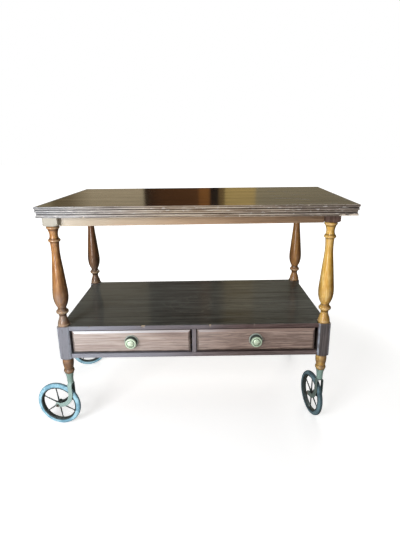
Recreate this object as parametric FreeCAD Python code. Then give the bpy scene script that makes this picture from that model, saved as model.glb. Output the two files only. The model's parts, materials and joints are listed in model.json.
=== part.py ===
"""Two-drawer tea trolley with a swivelling fold-over top, on four turned legs and spoked casters.

Millimetres, +Z up.  The origin is on the floor under the middle of the room that the trolley takes
up as its casters stand, +X runs to the right along it and the drawers open towards -Y.  Pieces are
built about the middle of the leg frame and carried to the origin as they are written, each to one
STEP file.
"""
import FreeCAD, Part
import math
import os
from FreeCAD import Vector

# ---- driving dimensions -------------------------------------------------------------------------
HEIGHT = 711.0               # floor to the upper face of the closed top, 28 in
LEG_X, LEG_Y = 394.0, 204.0  # leg axes, left-right and front-back
LEGS_MIDDLE = Vector(20.5, -29.0, 0)   # middle of the leg frame, from the origin
RUN_GAP = 0.3                # clearance between flat faces that move past each other
FIT = 0.05                   # radial clearance of a pin that turns in a hole

# top: two hinged leaves on a swivel
LEAF_L, LEAF_D, LEAF_T = 886.0, 491.0, 15.2
TOP_SHIFT = 18.3             # middle of the top, to the right of the leg frame
TOP_TURN = -2.47             # the top stands a little turned on its swivel, degrees
LOWER_INSET = 2.5            # lower leaf stands back behind the upper one
PIVOT_X, PIVOT_Y = -110.0, 134.0

# legs
UPPER_BLOCK, LOWER_BLOCK = 42.0, 36.0
UPPER_ARRIS, LOWER_ARRIS = 1.0, 4.0
Z_APRON, Z_UPPER_BLOCK = 653.0, 656.0
Z_SHELF, Z_CARCASS, Z_LOWER_BLOCK = 349.5, 244.5, 241.5
Z_FOOT_END = 189.0           # wood ends, brass ferrule begins
APRON_T, APRON_SET_BACK = 20.0, 18.0
APRON_TENON_L, APRON_TENON_T, APRON_TENON_IN = 9.0, 8.0, 4.0   # length, thickness, set in
TENON_R, TENON_END = 8.5, 160.0

# carcass under the shelf
SHELF_X, SHELF_T = 403.0, 14.0
FRONT_Y, BACK_Y = -217.0, 207.0
BOTTOM_RAIL_T, BOTTOM_RAIL_D = 14.0, 57.0
PANEL_T, BACK_T, DIVIDER_T = 15.0, 10.0, 12.4
RUNNER_TOP, RUNNER_T = 264.2, 12.0

# drawers
DRAWER_X = {"left": -190.0, "right": 187.0}
FRONT_W, FRONT_H, FRONT_T = 357.0, 70.0, 16.0
FRONT_PROUD, BEVEL_W, BEVEL_D = 5.0, 6.0, 4.0
BOX_SIDE_T, BOX_H, BOX_BACK_Y, BOX_INSET = 10.0, 58.0, 178.0, 4.0

# casters
WHEEL_R, TYRE_W, TYRE_T = 72.5, 14.0, 14.0
TRAIL = 47.0                 # swivel axis to axle
SWEEP_R = 42.0               # bend of the fork's arms, on their middle line
FORK_IN, STRAP_T, STRAP_W = 9.0, 3.0, 14.0
Z_CROWN, BOSS_H = 153.0, 3.0
STEM_R, STEM_TOP = 4.0, 202.0
AXLE_R, SPOKES = 3.0, 6
SPOKE_HUB_R, SPOKE_RIM_R = 2.6, 1.9
CASTERS = {  # leg side signs, the way the wheel trails, and how far round its spokes stand, degrees
    "front_left": (-1, -1, 170.0, 23.0),
    "front_right": (1, -1, 100.0, 30.0),
    "rear_left": (-1, 1, 205.0, 8.0),
    "rear_right": (1, 1, 80.0, 22.0),
}

# heights and planes that follow from them
Z_SEAM = HEIGHT - LEAF_T - RUN_GAP / 2
Z_LOWER = Z_SEAM - RUN_GAP / 2 - LEAF_T
Z_FRAME = Z_LOWER - RUN_GAP
INNER_X = LEG_X - LOWER_BLOCK / 2      # inner faces of the lower blocks
INNER_Y = LEG_Y - LOWER_BLOCK / 2
Z_UNDER_SHELF = Z_SHELF - SHELF_T
DRAWER_Z = RUNNER_TOP + RUN_GAP


# ---- small geometry helpers ---------------------------------------------------------------------
def block(x0, x1, y0, y1, z0, z1):
    return Part.makeBox(x1 - x0, y1 - y0, z1 - z0, Vector(x0, y0, z0))


def rod(radius, start, end):
    """A round bar between two points."""
    axis = Vector(*end) - Vector(*start)
    return Part.makeCylinder(radius, axis.Length, Vector(*start), axis)


def line(a, b):
    return Part.LineSegment(Vector(*a), Vector(*b)).toShape()


def arc(a, through, b):
    return Part.Arc(Vector(*a), Vector(*through), Vector(*b)).toShape()


def smooth(points):
    """A smooth curve through the points."""
    curve = Part.BSplineCurve()
    curve.interpolate([Vector(*p) for p in points])
    return curve.toShape()


def face(edges):
    return Part.Face(Part.Wire(edges))


def turned(outline):
    """Solid of revolution about Z from runs of (radius, z) points, top to bottom.

    A run of two points is a straight line, a run that starts with the word arc passes through its
    middle point, one that starts with dome is a round end that meets the axis squarely, and any
    other run is a smooth curve.
    """
    def at(p):
        return (p[0], 0.0, p[1])

    def dome(rim, tip):
        rise = tip[1] - rim[1]
        radius = (rim[0] ** 2 + rise ** 2) / (2 * rise)
        half = math.asin(rim[0] / radius) / 2
        return arc(at(rim), at((radius * math.sin(half), tip[1] - radius * (1 - math.cos(half)))),
                   at(tip))

    edges = []
    for run in outline:
        if run[0] == "arc":
            edges.append(arc(*[at(p) for p in run[1:]]))
        elif run[0] == "dome":
            edges.append(dome(run[1], run[2]))
        elif len(run) == 2:
            edges.append(line(at(run[0]), at(run[1])))
        else:
            edges.append(smooth([at(p) for p in run]))
    edges.append(line(at(outline[-1][-1]), at(outline[0][0])))
    return face(edges).revolve(Vector(0, 0, 0), Vector(0, 0, 1), 360)


def on_front(shape, x, y, z):
    """Carries a piece turned about Z to the drawer front, its top towards -Y."""
    moved = shape.copy()
    moved.rotate(Vector(0, 0, 0), Vector(1, 0, 0), 90)
    moved.translate(Vector(x, y, z))
    return moved


def export(name, shape):
    shape.translated(LEGS_MIDDLE).exportStep("parts/%s.step" % name)


def together(solids):
    """Separate solids of one node."""
    return Part.makeCompound(solids)


# ---- legs ---------------------------------------------------------------------------------------
def spindle():
    """The turned column between the two square blocks."""
    up, low = Z_UPPER_BLOCK, Z_SHELF
    return turned([
        [(0, up + 4), (16, up + 4)],
        [(16, up + 4), (16, up - 1)],
        ["arc", (16, up - 1), (18.6, 650.5), (15.6, 646)],
        [(15.6, 646), (12.8, 637), (12.0, 626), (14.0, 618)],
        [(14.0, 618), (15.2, 617.5)],
        ["arc", (15.2, 617.5), (17.3, 613.5), (15.0, 609.5)],
        [(15.0, 609.5), (12.9, 609)],
        [(12.9, 609), (11.8, 588), (15.3, 535), (21.0, 473), (22.5, 447), (18.2, 421), (12.2, 408)],
        [(12.2, 408), (13.2, 401.5)],
        ["arc", (13.2, 401.5), (18.2, 395), (13.2, 389)],
        [(13.2, 389), (11.0, 383.5), (12.2, 374), (16.0, 363.5), (18.0, low + 2)],
        [(18.0, low + 2), (18.0, low - 4)],
        [(18.0, low - 4), (0, low - 4)],
    ])


def foot():
    """The short turned foot with the tenon that the ferrule covers, bored for the caster stem."""
    top = Z_LOWER_BLOCK
    body = turned([
        [(0, top + 4), (15.6, top + 4)],
        [(15.6, top + 4), (15.6, top)],
        [(15.6, top), (16.7, 231), (16.0, 218), (13.6, 205)],
        [(13.6, 205), (14.2, 203)],
        ["arc", (14.2, 203), (16.2, 197.5), (14.2, 192)],
        [(14.2, 192), (12.4, Z_FOOT_END)],
        [(12.4, Z_FOOT_END), (TENON_R, Z_FOOT_END)],
        [(TENON_R, Z_FOOT_END), (TENON_R, TENON_END)],
        [(TENON_R, TENON_END), (0, TENON_END)],
    ])
    return body.cut(rod(STEM_R + 0.5, (0, 0, TENON_END), (0, 0, STEM_TOP + 6)))


def square(size, z0, z1, arris):
    """A square block whose lower corners are turned away to a shoulder."""
    half = size / 2
    body = block(-half, half, -half, half, z0, z1)
    corners = [e for e in body.Edges if abs(e.Vertexes[0].Z - e.Vertexes[1].Z) > 1]
    body = body.makeChamfer(arris, corners)
    wide = half * 1.5
    return body.common(turned([
        [(0, z0), (half - 1, z0)],
        ["arc", (half - 1, z0), (wide * 0.9, z0 + 3), (wide, z0 + 9)],
        [(wide, z0 + 9), (wide, z1)],
        [(wide, z1), (0, z1)],
    ]))


def leg():
    upper = square(UPPER_BLOCK, Z_UPPER_BLOCK, Z_FRAME, UPPER_ARRIS)
    lower = square(LOWER_BLOCK, Z_LOWER_BLOCK, Z_SHELF, LOWER_ARRIS)
    return upper.fuse([spindle(), lower, foot()]).removeSplitter()


def apron_tenon(sx, sy, along_x):
    """The tenon of an apron in the upper block of the leg, from the leg's own axis."""
    half = UPPER_BLOCK / 2
    length_side, width_side = (sx, sy) if along_x else (sy, sx)
    middle = half - APRON_SET_BACK - APRON_T / 2
    length = sorted((-length_side * half, -length_side * (half - APRON_TENON_L)))
    width = sorted((width_side * (middle - APRON_TENON_T / 2),
                    width_side * (middle + APRON_TENON_T / 2)))
    heights = (Z_APRON + APRON_TENON_IN, Z_FRAME - APRON_TENON_IN)
    return block(*length, *width, *heights) if along_x else block(*width, *length, *heights)


def ferrule():
    """Tapered brass cup on the foot's tenon, with a rolled rim and a bored end for the stem."""
    base = TENON_END - 4
    cup = turned([
        [(TENON_R, Z_FOOT_END), (12.0, Z_FOOT_END)],
        ["arc", (12.0, Z_FOOT_END), (13.2, Z_FOOT_END - 1.5), (12.0, Z_FOOT_END - 3)],
        [(12.0, Z_FOOT_END - 3), (10.0, 172), (9.4, 163), (9.6, base + 2)],
        [(9.6, base + 2), (9.0, base)],
        [(9.0, base), (STEM_R + FIT, base)],
        [(STEM_R + FIT, base), (STEM_R + FIT, TENON_END)],
        [(STEM_R + FIT, TENON_END), (TENON_R, TENON_END)],
    ])
    return cup


def make_legs():
    one_leg, one_ferrule = leg(), ferrule()
    for name, (sx, sy, _, _) in CASTERS.items():
        place = Vector(sx * LEG_X, sy * LEG_Y, 0)
        mortised = one_leg.cut([apron_tenon(sx, sy, True), apron_tenon(sx, sy, False)])
        export(name + "_leg", mortised.translated(place))
        export(name + "_ferrule", one_ferrule.translated(place))


# ---- frame under the top ------------------------------------------------------------------------
def make_aprons():
    run_x = LEG_X - UPPER_BLOCK / 2
    run_y = LEG_Y - UPPER_BLOCK / 2
    out = UPPER_BLOCK / 2 - APRON_SET_BACK
    out_x, out_y = LEG_X + out, LEG_Y + out
    for name, side in (("front_apron", -1), ("back_apron", 1)):
        near, far = sorted((side * out_y, side * (out_y - APRON_T)))
        board = block(-run_x, run_x, near, far, Z_APRON, Z_FRAME)
        tenons = [apron_tenon(end, side, True).translated(Vector(end * LEG_X, side * LEG_Y, 0))
                  for end in (-1, 1)]
        export(name, board.fuse(tenons).removeSplitter())
    for name, side in (("left_apron", -1), ("right_apron", 1)):
        near, far = sorted((side * out_x, side * (out_x - APRON_T)))
        board = block(near, far, -run_y, run_y, Z_APRON, Z_FRAME)
        tenons = [apron_tenon(side, end, False).translated(Vector(side * LEG_X, end * LEG_Y, 0))
                  for end in (-1, 1)]
        export(name, board.fuse(tenons).removeSplitter())
    inner_y = out_y - APRON_T
    rail = block(PIVOT_X - 35, PIVOT_X + 35, -inner_y, inner_y, PIVOT_RAIL_Z, PIVOT_RAIL_TOP)
    hole = rod(STUD_R + FIT, (PIVOT_X, PIVOT_Y, PIVOT_RAIL_Z - 1), (PIVOT_X, PIVOT_Y, Z_FRAME))
    export("pivot_rail", rail.cut(hole))


# ---- swivel -------------------------------------------------------------------------------------
PLATE_R, PLATE_T = 32.0, 3.2
STUD_R = 6.0
PIVOT_RAIL_TOP = Z_LOWER - PLATE_T - RUN_GAP
PIVOT_RAIL_Z = PIVOT_RAIL_TOP - 20.0
WASHER_R, WASHER_T, NUT_R, NUT_T = 14.0, 2.0, 10.5, 8.0


def hexagon(radius, z0, z1):
    corners = [(radius * math.cos(math.radians(60 * k)), radius * math.sin(math.radians(60 * k)), z0)
               for k in range(7)]
    sides = [line(a, b) for a, b in zip(corners, corners[1:-1] + corners[:1])]
    return face(sides).extrude(Vector(0, 0, z1 - z0))


def make_swivel():
    """Plate and stud under the lower leaf; washer and nut hold the stud under the pivot rail."""
    place = Vector(PIVOT_X, PIVOT_Y, 0)
    washer_top = PIVOT_RAIL_Z - RUN_GAP
    nut_top = washer_top - WASHER_T
    plate = rod(PLATE_R, (0, 0, Z_LOWER - PLATE_T), (0, 0, Z_LOWER))
    stud = rod(STUD_R, (0, 0, nut_top - NUT_T - 3), (0, 0, Z_LOWER - PLATE_T))
    bore = rod(STUD_R, (0, 0, nut_top - NUT_T - 3), (0, 0, washer_top + 1))
    washer = rod(WASHER_R, (0, 0, nut_top), (0, 0, washer_top)).cut(bore)
    nut = hexagon(NUT_R, nut_top - NUT_T, nut_top).cut(bore)
    export("swivel_plate", plate.fuse(stud).translated(place))
    export("swivel_washer", washer.translated(place))
    export("swivel_nut", nut.translated(place))


# ---- top leaves and their hinges ----------------------------------------------------------------
FILLET_H = 1.6                # square edge under the outer face
OVOLO_H, BEAD_H, QUIRK_H = 4.7, 6.8, 0.7
QUIRK_IN, BEAD_IN = 4.2, 2.0  # how far in from the outer edge the quirks and the bead's crest lie
HINGE_XS = (-300.0, 0.0, 300.0)
HINGE_L, HINGE_W, HINGE_T = 60.0, 24.0, 1.2
KNUCKLES, KNUCKLE_R, PIN_R = 5, 2.8, 1.25
HINGE_Y = LEAF_D / 2 + 0.4    # pin line, in the top's own axes


def moulded(out, z_face, side, up, place):
    """Edges of a board's moulded side, from its outer face to the seam: fillet, ovolo, quirk, bead
    and quirk.  The outer face looks up if up is 1 and down if it is -1."""
    def at(inset, depth):
        return place(out - side * inset, z_face - up * depth)

    ovolo = FILLET_H + OVOLO_H
    bead = ovolo + QUIRK_H
    return [
        line(at(0, 0), at(0, FILLET_H)),
        arc(at(0, FILLET_H), at(QUIRK_IN * 0.29, FILLET_H + OVOLO_H * 0.71), at(QUIRK_IN, ovolo)),
        line(at(QUIRK_IN, ovolo), at(QUIRK_IN, bead)),
        arc(at(QUIRK_IN, bead), at(BEAD_IN, bead + BEAD_H / 2), at(QUIRK_IN, bead + BEAD_H)),
        line(at(QUIRK_IN, bead + BEAD_H), at(QUIRK_IN, LEAF_T)),
    ]


def leaf(z_face, inset, up):
    """One board of the top, moulded on the front and both ends and plain along the hinge edge."""
    half_l, front, back = LEAF_L / 2 - inset, -LEAF_D / 2 + inset, LEAF_D / 2
    z_seam = z_face - up * LEAF_T

    def across(y, z):
        return (-half_l, y, z)

    def along(x, z):
        return (x, -LEAF_D, z)

    section = moulded(front, z_face, -1, up, across) + [
        line(across(front + QUIRK_IN, z_seam), across(back, z_seam)),
        line(across(back, z_seam), across(back, z_face)),
        line(across(back, z_face), across(front, z_face))]
    long_run = face(section).extrude(Vector(2 * half_l, 0, 0))
    x_in = half_l - QUIRK_IN
    section = moulded(half_l, z_face, 1, up, along) + moulded(-half_l, z_face, -1, up, along)
    section += [line(along(x_in, z_seam), along(-x_in, z_seam)),
                line(along(-half_l, z_face), along(half_l, z_face))]
    end_run = face(Part.__sortEdges__(section)).extrude(Vector(0, 2 * LEAF_D, 0))
    board = long_run.common(end_run)
    for x in HINGE_XS:
        half = HINGE_L / 2
        board = board.cut(rod(KNUCKLE_R + 0.5, (x - half - 0.3, HINGE_Y, Z_SEAM),
                              (x + half + 0.3, HINGE_Y, Z_SEAM)))
        board = board.cut(block(x - half, x + half, HINGE_Y - HINGE_W, HINGE_Y + 1,
                                Z_SEAM - RUN_GAP / 2 - HINGE_T, Z_SEAM + RUN_GAP / 2 + HINGE_T))
    return board


def hinge_half(x, upper):
    """One plate of a butt hinge with its share of the knuckles, at the place x along the edge."""
    step = HINGE_L / KNUCKLES
    x0 = x - HINGE_L / 2
    z_in = RUN_GAP / 2
    low, high = (Z_SEAM + z_in, Z_SEAM + z_in + HINGE_T) if upper else (
        Z_SEAM - z_in - HINGE_T, Z_SEAM - z_in)
    plate = block(x0, x0 + HINGE_L, HINGE_Y - HINGE_W, HINGE_Y, low, high)
    bore = PIN_R + (FIT if upper else 0.0)
    for k in range(KNUCKLES):
        a, b = x0 + k * step, x0 + (k + 1) * step
        if (k % 2 == 1) == upper:
            plate = plate.fuse(rod(KNUCKLE_R, (a + 0.2, HINGE_Y, Z_SEAM), (b - 0.2, HINGE_Y, Z_SEAM)))
        else:
            plate = plate.cut(block(a - 0.2, b + 0.2, HINGE_Y - KNUCKLE_R - 0.5, HINGE_Y + 1,
                                    low - 1, high + 1))
    return plate.cut(rod(bore, (x0 - 1, HINGE_Y, Z_SEAM), (x0 + HINGE_L + 1, HINGE_Y, Z_SEAM)))


def turn_top(shape):
    """From the top's own axes to where it stands on the frame."""
    moved = shape.copy()
    moved.rotate(Vector(0, 0, 0), Vector(0, 0, 1), TOP_TURN)
    moved.translate(Vector(TOP_SHIFT, 0, 0))
    return moved


def make_top():
    export("lower_leaf", turn_top(leaf(Z_LOWER, LOWER_INSET, -1)))
    export("upper_leaf", turn_top(leaf(HEIGHT, 0.0, 1)))
    lower = [hinge_half(x, False) for x in HINGE_XS]
    upper = [hinge_half(x, True) for x in HINGE_XS]
    half = HINGE_L / 2
    pins = [rod(PIN_R, (x - half, HINGE_Y, Z_SEAM), (x + half, HINGE_Y, Z_SEAM)) for x in HINGE_XS]
    export("lower_hinge_plates", turn_top(together(lower)))
    export("upper_hinge_plates", turn_top(together(upper)))
    export("hinge_pins", turn_top(together(pins)))


# ---- shelf and carcass --------------------------------------------------------------------------
def make_carcass():
    shelf = block(-SHELF_X, SHELF_X, FRONT_Y, BACK_Y, Z_UNDER_SHELF, Z_SHELF)
    for sx in (-1, 1):
        x0, x1 = sorted((sx * INNER_X, sx * (SHELF_X + 1)))
        shelf = shelf.cut(block(x0, x1, FRONT_Y - 1, -INNER_Y, Z_UNDER_SHELF - 1, Z_SHELF + 1))
        shelf = shelf.cut(block(x0, x1, INNER_Y, BACK_Y + 1, Z_UNDER_SHELF - 1, Z_SHELF + 1))
    export("shelf_board", shelf)
    for name, sx in (("left_side_panel", -1), ("right_side_panel", 1)):
        x0, x1 = sorted((sx * INNER_X, sx * (INNER_X + PANEL_T)))
        export(name, block(x0, x1, -INNER_Y, INNER_Y, Z_CARCASS, Z_UNDER_SHELF))
    back_in = BACK_Y - 2 - BACK_T
    export("back_panel", block(-INNER_X, INNER_X, back_in, back_in + BACK_T, Z_CARCASS, Z_UNDER_SHELF))
    rail_top, rail_back = Z_CARCASS + BOTTOM_RAIL_T, FRONT_Y + BOTTOM_RAIL_D
    export("bottom_rail", block(-INNER_X, INNER_X, FRONT_Y, rail_back, Z_CARCASS, rail_top))
    half = DIVIDER_T / 2
    divider = block(-half, half, rail_back, back_in, RUNNER_TOP, Z_UNDER_SHELF)
    divider = divider.fuse(block(-half, half, FRONT_Y, rail_back, rail_top, Z_UNDER_SHELF))
    export("centre_divider", divider.removeSplitter())
    low = RUNNER_TOP - RUNNER_T
    wide = 30.0
    runs = [(-INNER_X, wide - INNER_X), (-wide, wide), (INNER_X - wide, INNER_X)]
    runners = [block(x0, x1, rail_back, back_in, low, RUNNER_TOP) for x0, x1 in runs]
    export("drawer_runners", together(runners))
    guides = []
    reach = FRONT_W / 2 - BOX_INSET + 0.5
    for x0, x1 in ((-INNER_X, DRAWER_X["left"] - reach), (DRAWER_X["left"] + reach, -half),
                   (half, DRAWER_X["right"] - reach), (DRAWER_X["right"] + reach, INNER_X)):
        guides.append(block(x0, x1, rail_back, back_in, RUNNER_TOP, RUNNER_TOP + 14))
    export("drawer_guides", together(guides))


# ---- drawers ------------------------------------------------------------------------------------
def drawer_front(x):
    """Raised front: a flat field with a bevel all round, bored for the knob's screw."""
    y_face = FRONT_Y - FRONT_PROUD
    y_edge, y_back = y_face + BEVEL_D, y_face + FRONT_T
    half, z0, z1 = FRONT_W / 2, DRAWER_Z, DRAWER_Z + FRONT_H
    board = block(x - half, x + half, y_edge, y_back, z0, z1)

    def frame(inset, y):
        corners = [(x - half + inset, y, z0 + inset), (x + half - inset, y, z0 + inset),
                   (x + half - inset, y, z1 - inset), (x - half + inset, y, z1 - inset)]
        return Part.Wire([line(a, b) for a, b in zip(corners, corners[1:] + corners[:1])])

    field = Part.makeLoft([frame(0, y_edge), frame(BEVEL_W, y_face)], True, True)
    board = board.fuse(field).removeSplitter()
    return board.cut(rod(SCREW_R, (x, y_face - 1, KNOB_Z), (x, y_back + 1, KNOB_Z)))


KNOB_Z = 300.5
SCREW_R = 2.0


def backplate():
    return turned([
        [(SCREW_R, 0), (21.0, 0)],
        ["arc", (21.0, 0), (20.4, 1.8), (18.6, 2.4)],
        [(18.6, 2.4), (17.4, 1.6)],
        [(17.4, 1.6), (SCREW_R, 1.6)],
    ])


def knob():
    """Brass knob on a waisted neck, its face turned with a ring and a raised centre."""
    return turned([
        [(0, 1.6), (8.0, 1.6)],
        [(8.0, 1.6), (6.2, 6.5), (8.0, 10.5), (15.6, 13.2)],
        ["arc", (15.6, 13.2), (17.0, 15.4), (15.4, 17.8)],
        [(15.4, 17.8), (12.4, 18.8)],
        ["arc", (12.4, 18.8), (11.0, 17.6), (9.6, 18.6)],
        ["dome", (9.6, 18.6), (0, 21.2)],
    ]).cut(rod(SCREW_R, (0, 0, 0), (0, 0, 12)))


def make_drawers():
    y_face = FRONT_Y - FRONT_PROUD
    y_back = y_face + FRONT_T
    for side, x in DRAWER_X.items():
        half = FRONT_W / 2 - BOX_INSET
        z0, z1 = DRAWER_Z, DRAWER_Z + BOX_H
        inner = half - BOX_SIDE_T
        slot_z, slot_t, slot_d = z0 + 6, 4.0, 5.0
        groove = block(x - inner - slot_d, x + inner + slot_d, y_back - slot_d,
                       BOX_BACK_Y + slot_d, slot_z, slot_z + slot_t)
        sides = [block(x - half, x - inner, y_back, BOX_BACK_Y + BOX_SIDE_T, z0, z1).cut(groove),
                 block(x + inner, x + half, y_back, BOX_BACK_Y + BOX_SIDE_T, z0, z1).cut(groove)]
        back = block(x - inner, x + inner, BOX_BACK_Y, BOX_BACK_Y + BOX_SIDE_T, z0, z1)
        export(side + "_drawer_front", drawer_front(x).cut(groove))
        export(side + "_drawer_sides", together(sides))
        export(side + "_drawer_back", back.cut(groove))
        export(side + "_drawer_bottom", groove)
        export(side + "_knob_backplate", on_front(backplate(), x, y_face, KNOB_Z))
        export(side + "_knob", on_front(knob(), x, y_face, KNOB_Z))
        head = rod(4.5, (x, y_back, KNOB_Z), (x, y_back + 2.5, KNOB_Z))
        shank = rod(SCREW_R, (x, y_face - 12, KNOB_Z), (x, y_back, KNOB_Z))
        export(side + "_knob_screw", head.fuse(shank))


# ---- casters ------------------------------------------------------------------------------------
def fork():
    """Bent strap fork: crown, two J-shaped arms that sweep back to the axle, boss and stem.

    Local axes: swivel axis on Z, the wheel trails towards +X and the axle lies along Y.
    """
    out, bend = FORK_IN + STRAP_T, 5.0
    half = STRAP_W / 2
    z_arm, z_in = WHEEL_R + SWEEP_R, Z_CROWN - STRAP_T - 1.0
    k = math.sqrt(0.5)

    def at(y, z):
        return (-half, y, z)

    soft = bend - STRAP_T
    strap = face([
        line(at(-out, z_arm), at(-out, Z_CROWN - bend)),
        arc(at(-out, Z_CROWN - bend), at(-out + bend * (1 - k), Z_CROWN - bend * (1 - k)),
            at(-out + bend, Z_CROWN)),
        line(at(-out + bend, Z_CROWN), at(out - bend, Z_CROWN)),
        arc(at(out - bend, Z_CROWN), at(out - bend * (1 - k), Z_CROWN - bend * (1 - k)),
            at(out, Z_CROWN - bend)),
        line(at(out, Z_CROWN - bend), at(out, z_arm)),
        line(at(out, z_arm), at(FORK_IN, z_arm)),
        line(at(FORK_IN, z_arm), at(FORK_IN, z_in - soft)),
        arc(at(FORK_IN, z_in - soft), at(FORK_IN - soft * (1 - k), z_in - soft * (1 - k)),
            at(FORK_IN - soft, z_in)),
        line(at(FORK_IN - soft, z_in), at(-FORK_IN + soft, z_in)),
        arc(at(-FORK_IN + soft, z_in), at(-FORK_IN + soft * (1 - k), z_in - soft * (1 - k)),
            at(-FORK_IN, z_in - soft)),
        line(at(-FORK_IN, z_in - soft), at(-FORK_IN, z_arm)),
        line(at(-FORK_IN, z_arm), at(-out, z_arm)),
    ]).extrude(Vector(STRAP_W, 0, 0))
    arms = []
    for y in (-out, FORK_IN):
        def on(x, z):
            return (x, y, z)

        outer, inner = SWEEP_R + half, SWEEP_R - half
        arm = face([
            line(on(half, z_arm), on(-half, z_arm)),
            arc(on(-half, z_arm), on(SWEEP_R - outer * k, z_arm - outer * k), on(SWEEP_R, z_arm - outer)),
            line(on(SWEEP_R, z_arm - outer), on(TRAIL, z_arm - outer)),
            arc(on(TRAIL, z_arm - outer), on(TRAIL + half, WHEEL_R), on(TRAIL, WHEEL_R + half)),
            line(on(TRAIL, WHEEL_R + half), on(SWEEP_R, z_arm - inner)),
            arc(on(SWEEP_R, z_arm - inner), on(SWEEP_R - inner * k, z_arm - inner * k), on(half, z_arm)),
        ]).extrude(Vector(0, STRAP_T, 0))
        arms.append(arm.fuse(rod(8.5, (TRAIL, y, WHEEL_R), (TRAIL, y + STRAP_T, WHEEL_R))))
    boss = rod(9.0, (0, 0, Z_CROWN - 1), (0, 0, Z_CROWN + BOSS_H - RUN_GAP))
    stem = rod(STEM_R, (0, 0, Z_CROWN), (0, 0, STEM_TOP))
    body = strap.fuse(arms + [boss, stem]).removeSplitter()
    return body.cut(rod(AXLE_R, (TRAIL, -out - 1, WHEEL_R), (TRAIL, out + 1, WHEEL_R)))


def axle():
    """Bolt through the fork: a domed head on one side and a hexagon nut on the other."""
    out = FORK_IN + STRAP_T
    head = turned([
        [(0, out), (6.0, out)],
        ["dome", (6.0, out), (0, out + 4)],
    ])
    nut = hexagon(5.6, -out - 4, -out)
    bolt = rod(AXLE_R, (0, 0, -out - 5.5), (0, 0, out + 1)).fuse([head, nut])
    bolt.rotate(Vector(0, 0, 0), Vector(1, 0, 0), 90)
    return bolt.translated(Vector(TRAIL, 0, WHEEL_R))


def wheel(phase):
    """Hub, round spokes that taper towards the rim and flat rim, cast together."""
    hub_l = FORK_IN - 0.5
    rim_out = WHEEL_R - TYRE_T
    rim_in, rim_half = rim_out - 3.0, 5.5
    hub = turned([
        [(0, hub_l), (5.5, hub_l)],
        [(5.5, hub_l), (5.5, 4.0)],
        [(5.5, 4.0), (8.5, 3.0)],
        [(8.5, 3.0), (8.5, -3.0)],
        [(8.5, -3.0), (5.5, -4.0)],
        [(5.5, -4.0), (5.5, -hub_l)],
        [(5.5, -hub_l), (0, -hub_l)],
    ])
    rim = rod(rim_out, (0, 0, -rim_half), (0, 0, rim_half))
    rim = rim.cut(rod(rim_in, (0, 0, -rim_half), (0, 0, rim_half)))
    spokes = []
    for n in range(SPOKES):
        turn = math.radians(phase + n * 360.0 / SPOKES)
        outwards = Vector(math.cos(turn), math.sin(turn), 0)
        spokes.append(Part.makeCone(SPOKE_HUB_R, SPOKE_RIM_R, rim_in - 6, outwards * 7, outwards))
    body = hub.fuse([rim] + spokes)
    body = body.cut(rod(AXLE_R + FIT, (0, 0, -hub_l - 1), (0, 0, hub_l + 1)))
    return upright(body)


def tyre():
    """Solid tyre with a rounded tread, seated on the rim."""
    half, inner = TYRE_W / 2, WHEEL_R - TYRE_T
    body = turned([
        [(inner, half - 1), (inner + 1, half)],
        [(inner + 1, half), (WHEEL_R - 5, half)],
        ["arc", (WHEEL_R - 5, half), (WHEEL_R, 0), (WHEEL_R - 5, -half)],
        [(WHEEL_R - 5, -half), (inner + 1, -half)],
        [(inner + 1, -half), (inner, 1 - half)],
    ])
    return upright(body)


def upright(shape):
    """Stands a piece turned about Z on the axle line."""
    shape.rotate(Vector(0, 0, 0), Vector(1, 0, 0), 90)
    return shape.translated(Vector(TRAIL, 0, WHEEL_R))


def make_casters():
    for name, (sx, sy, heading, phase) in CASTERS.items():
        pieces = {"_fork": fork(), "_axle": axle(), "_wheel": wheel(phase), "_tyre": tyre()}
        for suffix, shape in pieces.items():
            shape.rotate(Vector(0, 0, 0), Vector(0, 0, 1), heading)
            shape.translate(Vector(sx * LEG_X, sy * LEG_Y, 0))
            export(name + suffix, shape)


os.makedirs("parts", exist_ok=True)
make_legs()
make_aprons()
make_swivel()
make_top()
make_carcass()
make_drawers()
make_casters()
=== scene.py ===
import json
import math

import bmesh
import bpy
import numpy as np
from mathutils import Matrix, Vector


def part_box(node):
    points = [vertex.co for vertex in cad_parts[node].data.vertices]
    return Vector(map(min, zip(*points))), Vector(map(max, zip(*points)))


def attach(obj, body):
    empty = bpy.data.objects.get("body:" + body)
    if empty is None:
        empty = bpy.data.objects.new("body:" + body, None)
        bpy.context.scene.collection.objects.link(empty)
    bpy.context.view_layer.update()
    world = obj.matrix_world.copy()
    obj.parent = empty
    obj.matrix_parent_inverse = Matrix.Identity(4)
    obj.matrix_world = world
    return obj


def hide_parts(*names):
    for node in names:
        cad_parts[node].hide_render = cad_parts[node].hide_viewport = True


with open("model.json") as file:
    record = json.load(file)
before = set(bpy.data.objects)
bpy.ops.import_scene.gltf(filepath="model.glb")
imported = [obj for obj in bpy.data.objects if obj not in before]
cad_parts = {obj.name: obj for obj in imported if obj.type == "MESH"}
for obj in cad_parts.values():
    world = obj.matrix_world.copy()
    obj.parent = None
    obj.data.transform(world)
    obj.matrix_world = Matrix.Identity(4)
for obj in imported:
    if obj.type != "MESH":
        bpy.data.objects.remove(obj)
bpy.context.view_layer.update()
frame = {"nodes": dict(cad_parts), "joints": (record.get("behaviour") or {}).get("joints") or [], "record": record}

# ---- Legs ----
# Each leg is one piece of hardwood, turned between a square block under the top and a longer one
# beside the shelf: bead, neck, ring, long vase, ring and bell.  The turned part is varnished golden
# brown and the blocks are stained darker.  Old polish lies in the hollows.  Sizes are millimetres.
MM = 0.001
CORNERS = ("front_left", "front_right", "rear_left", "rear_right")


def span(node):
    """The two far corners of a node's box, in millimetres."""
    return [np.array(corner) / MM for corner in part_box(node)]


def level(node, end):
    """The height of a node's underside, for end 0, or of its top, for end 1."""
    return span(node)[end][2]


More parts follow.
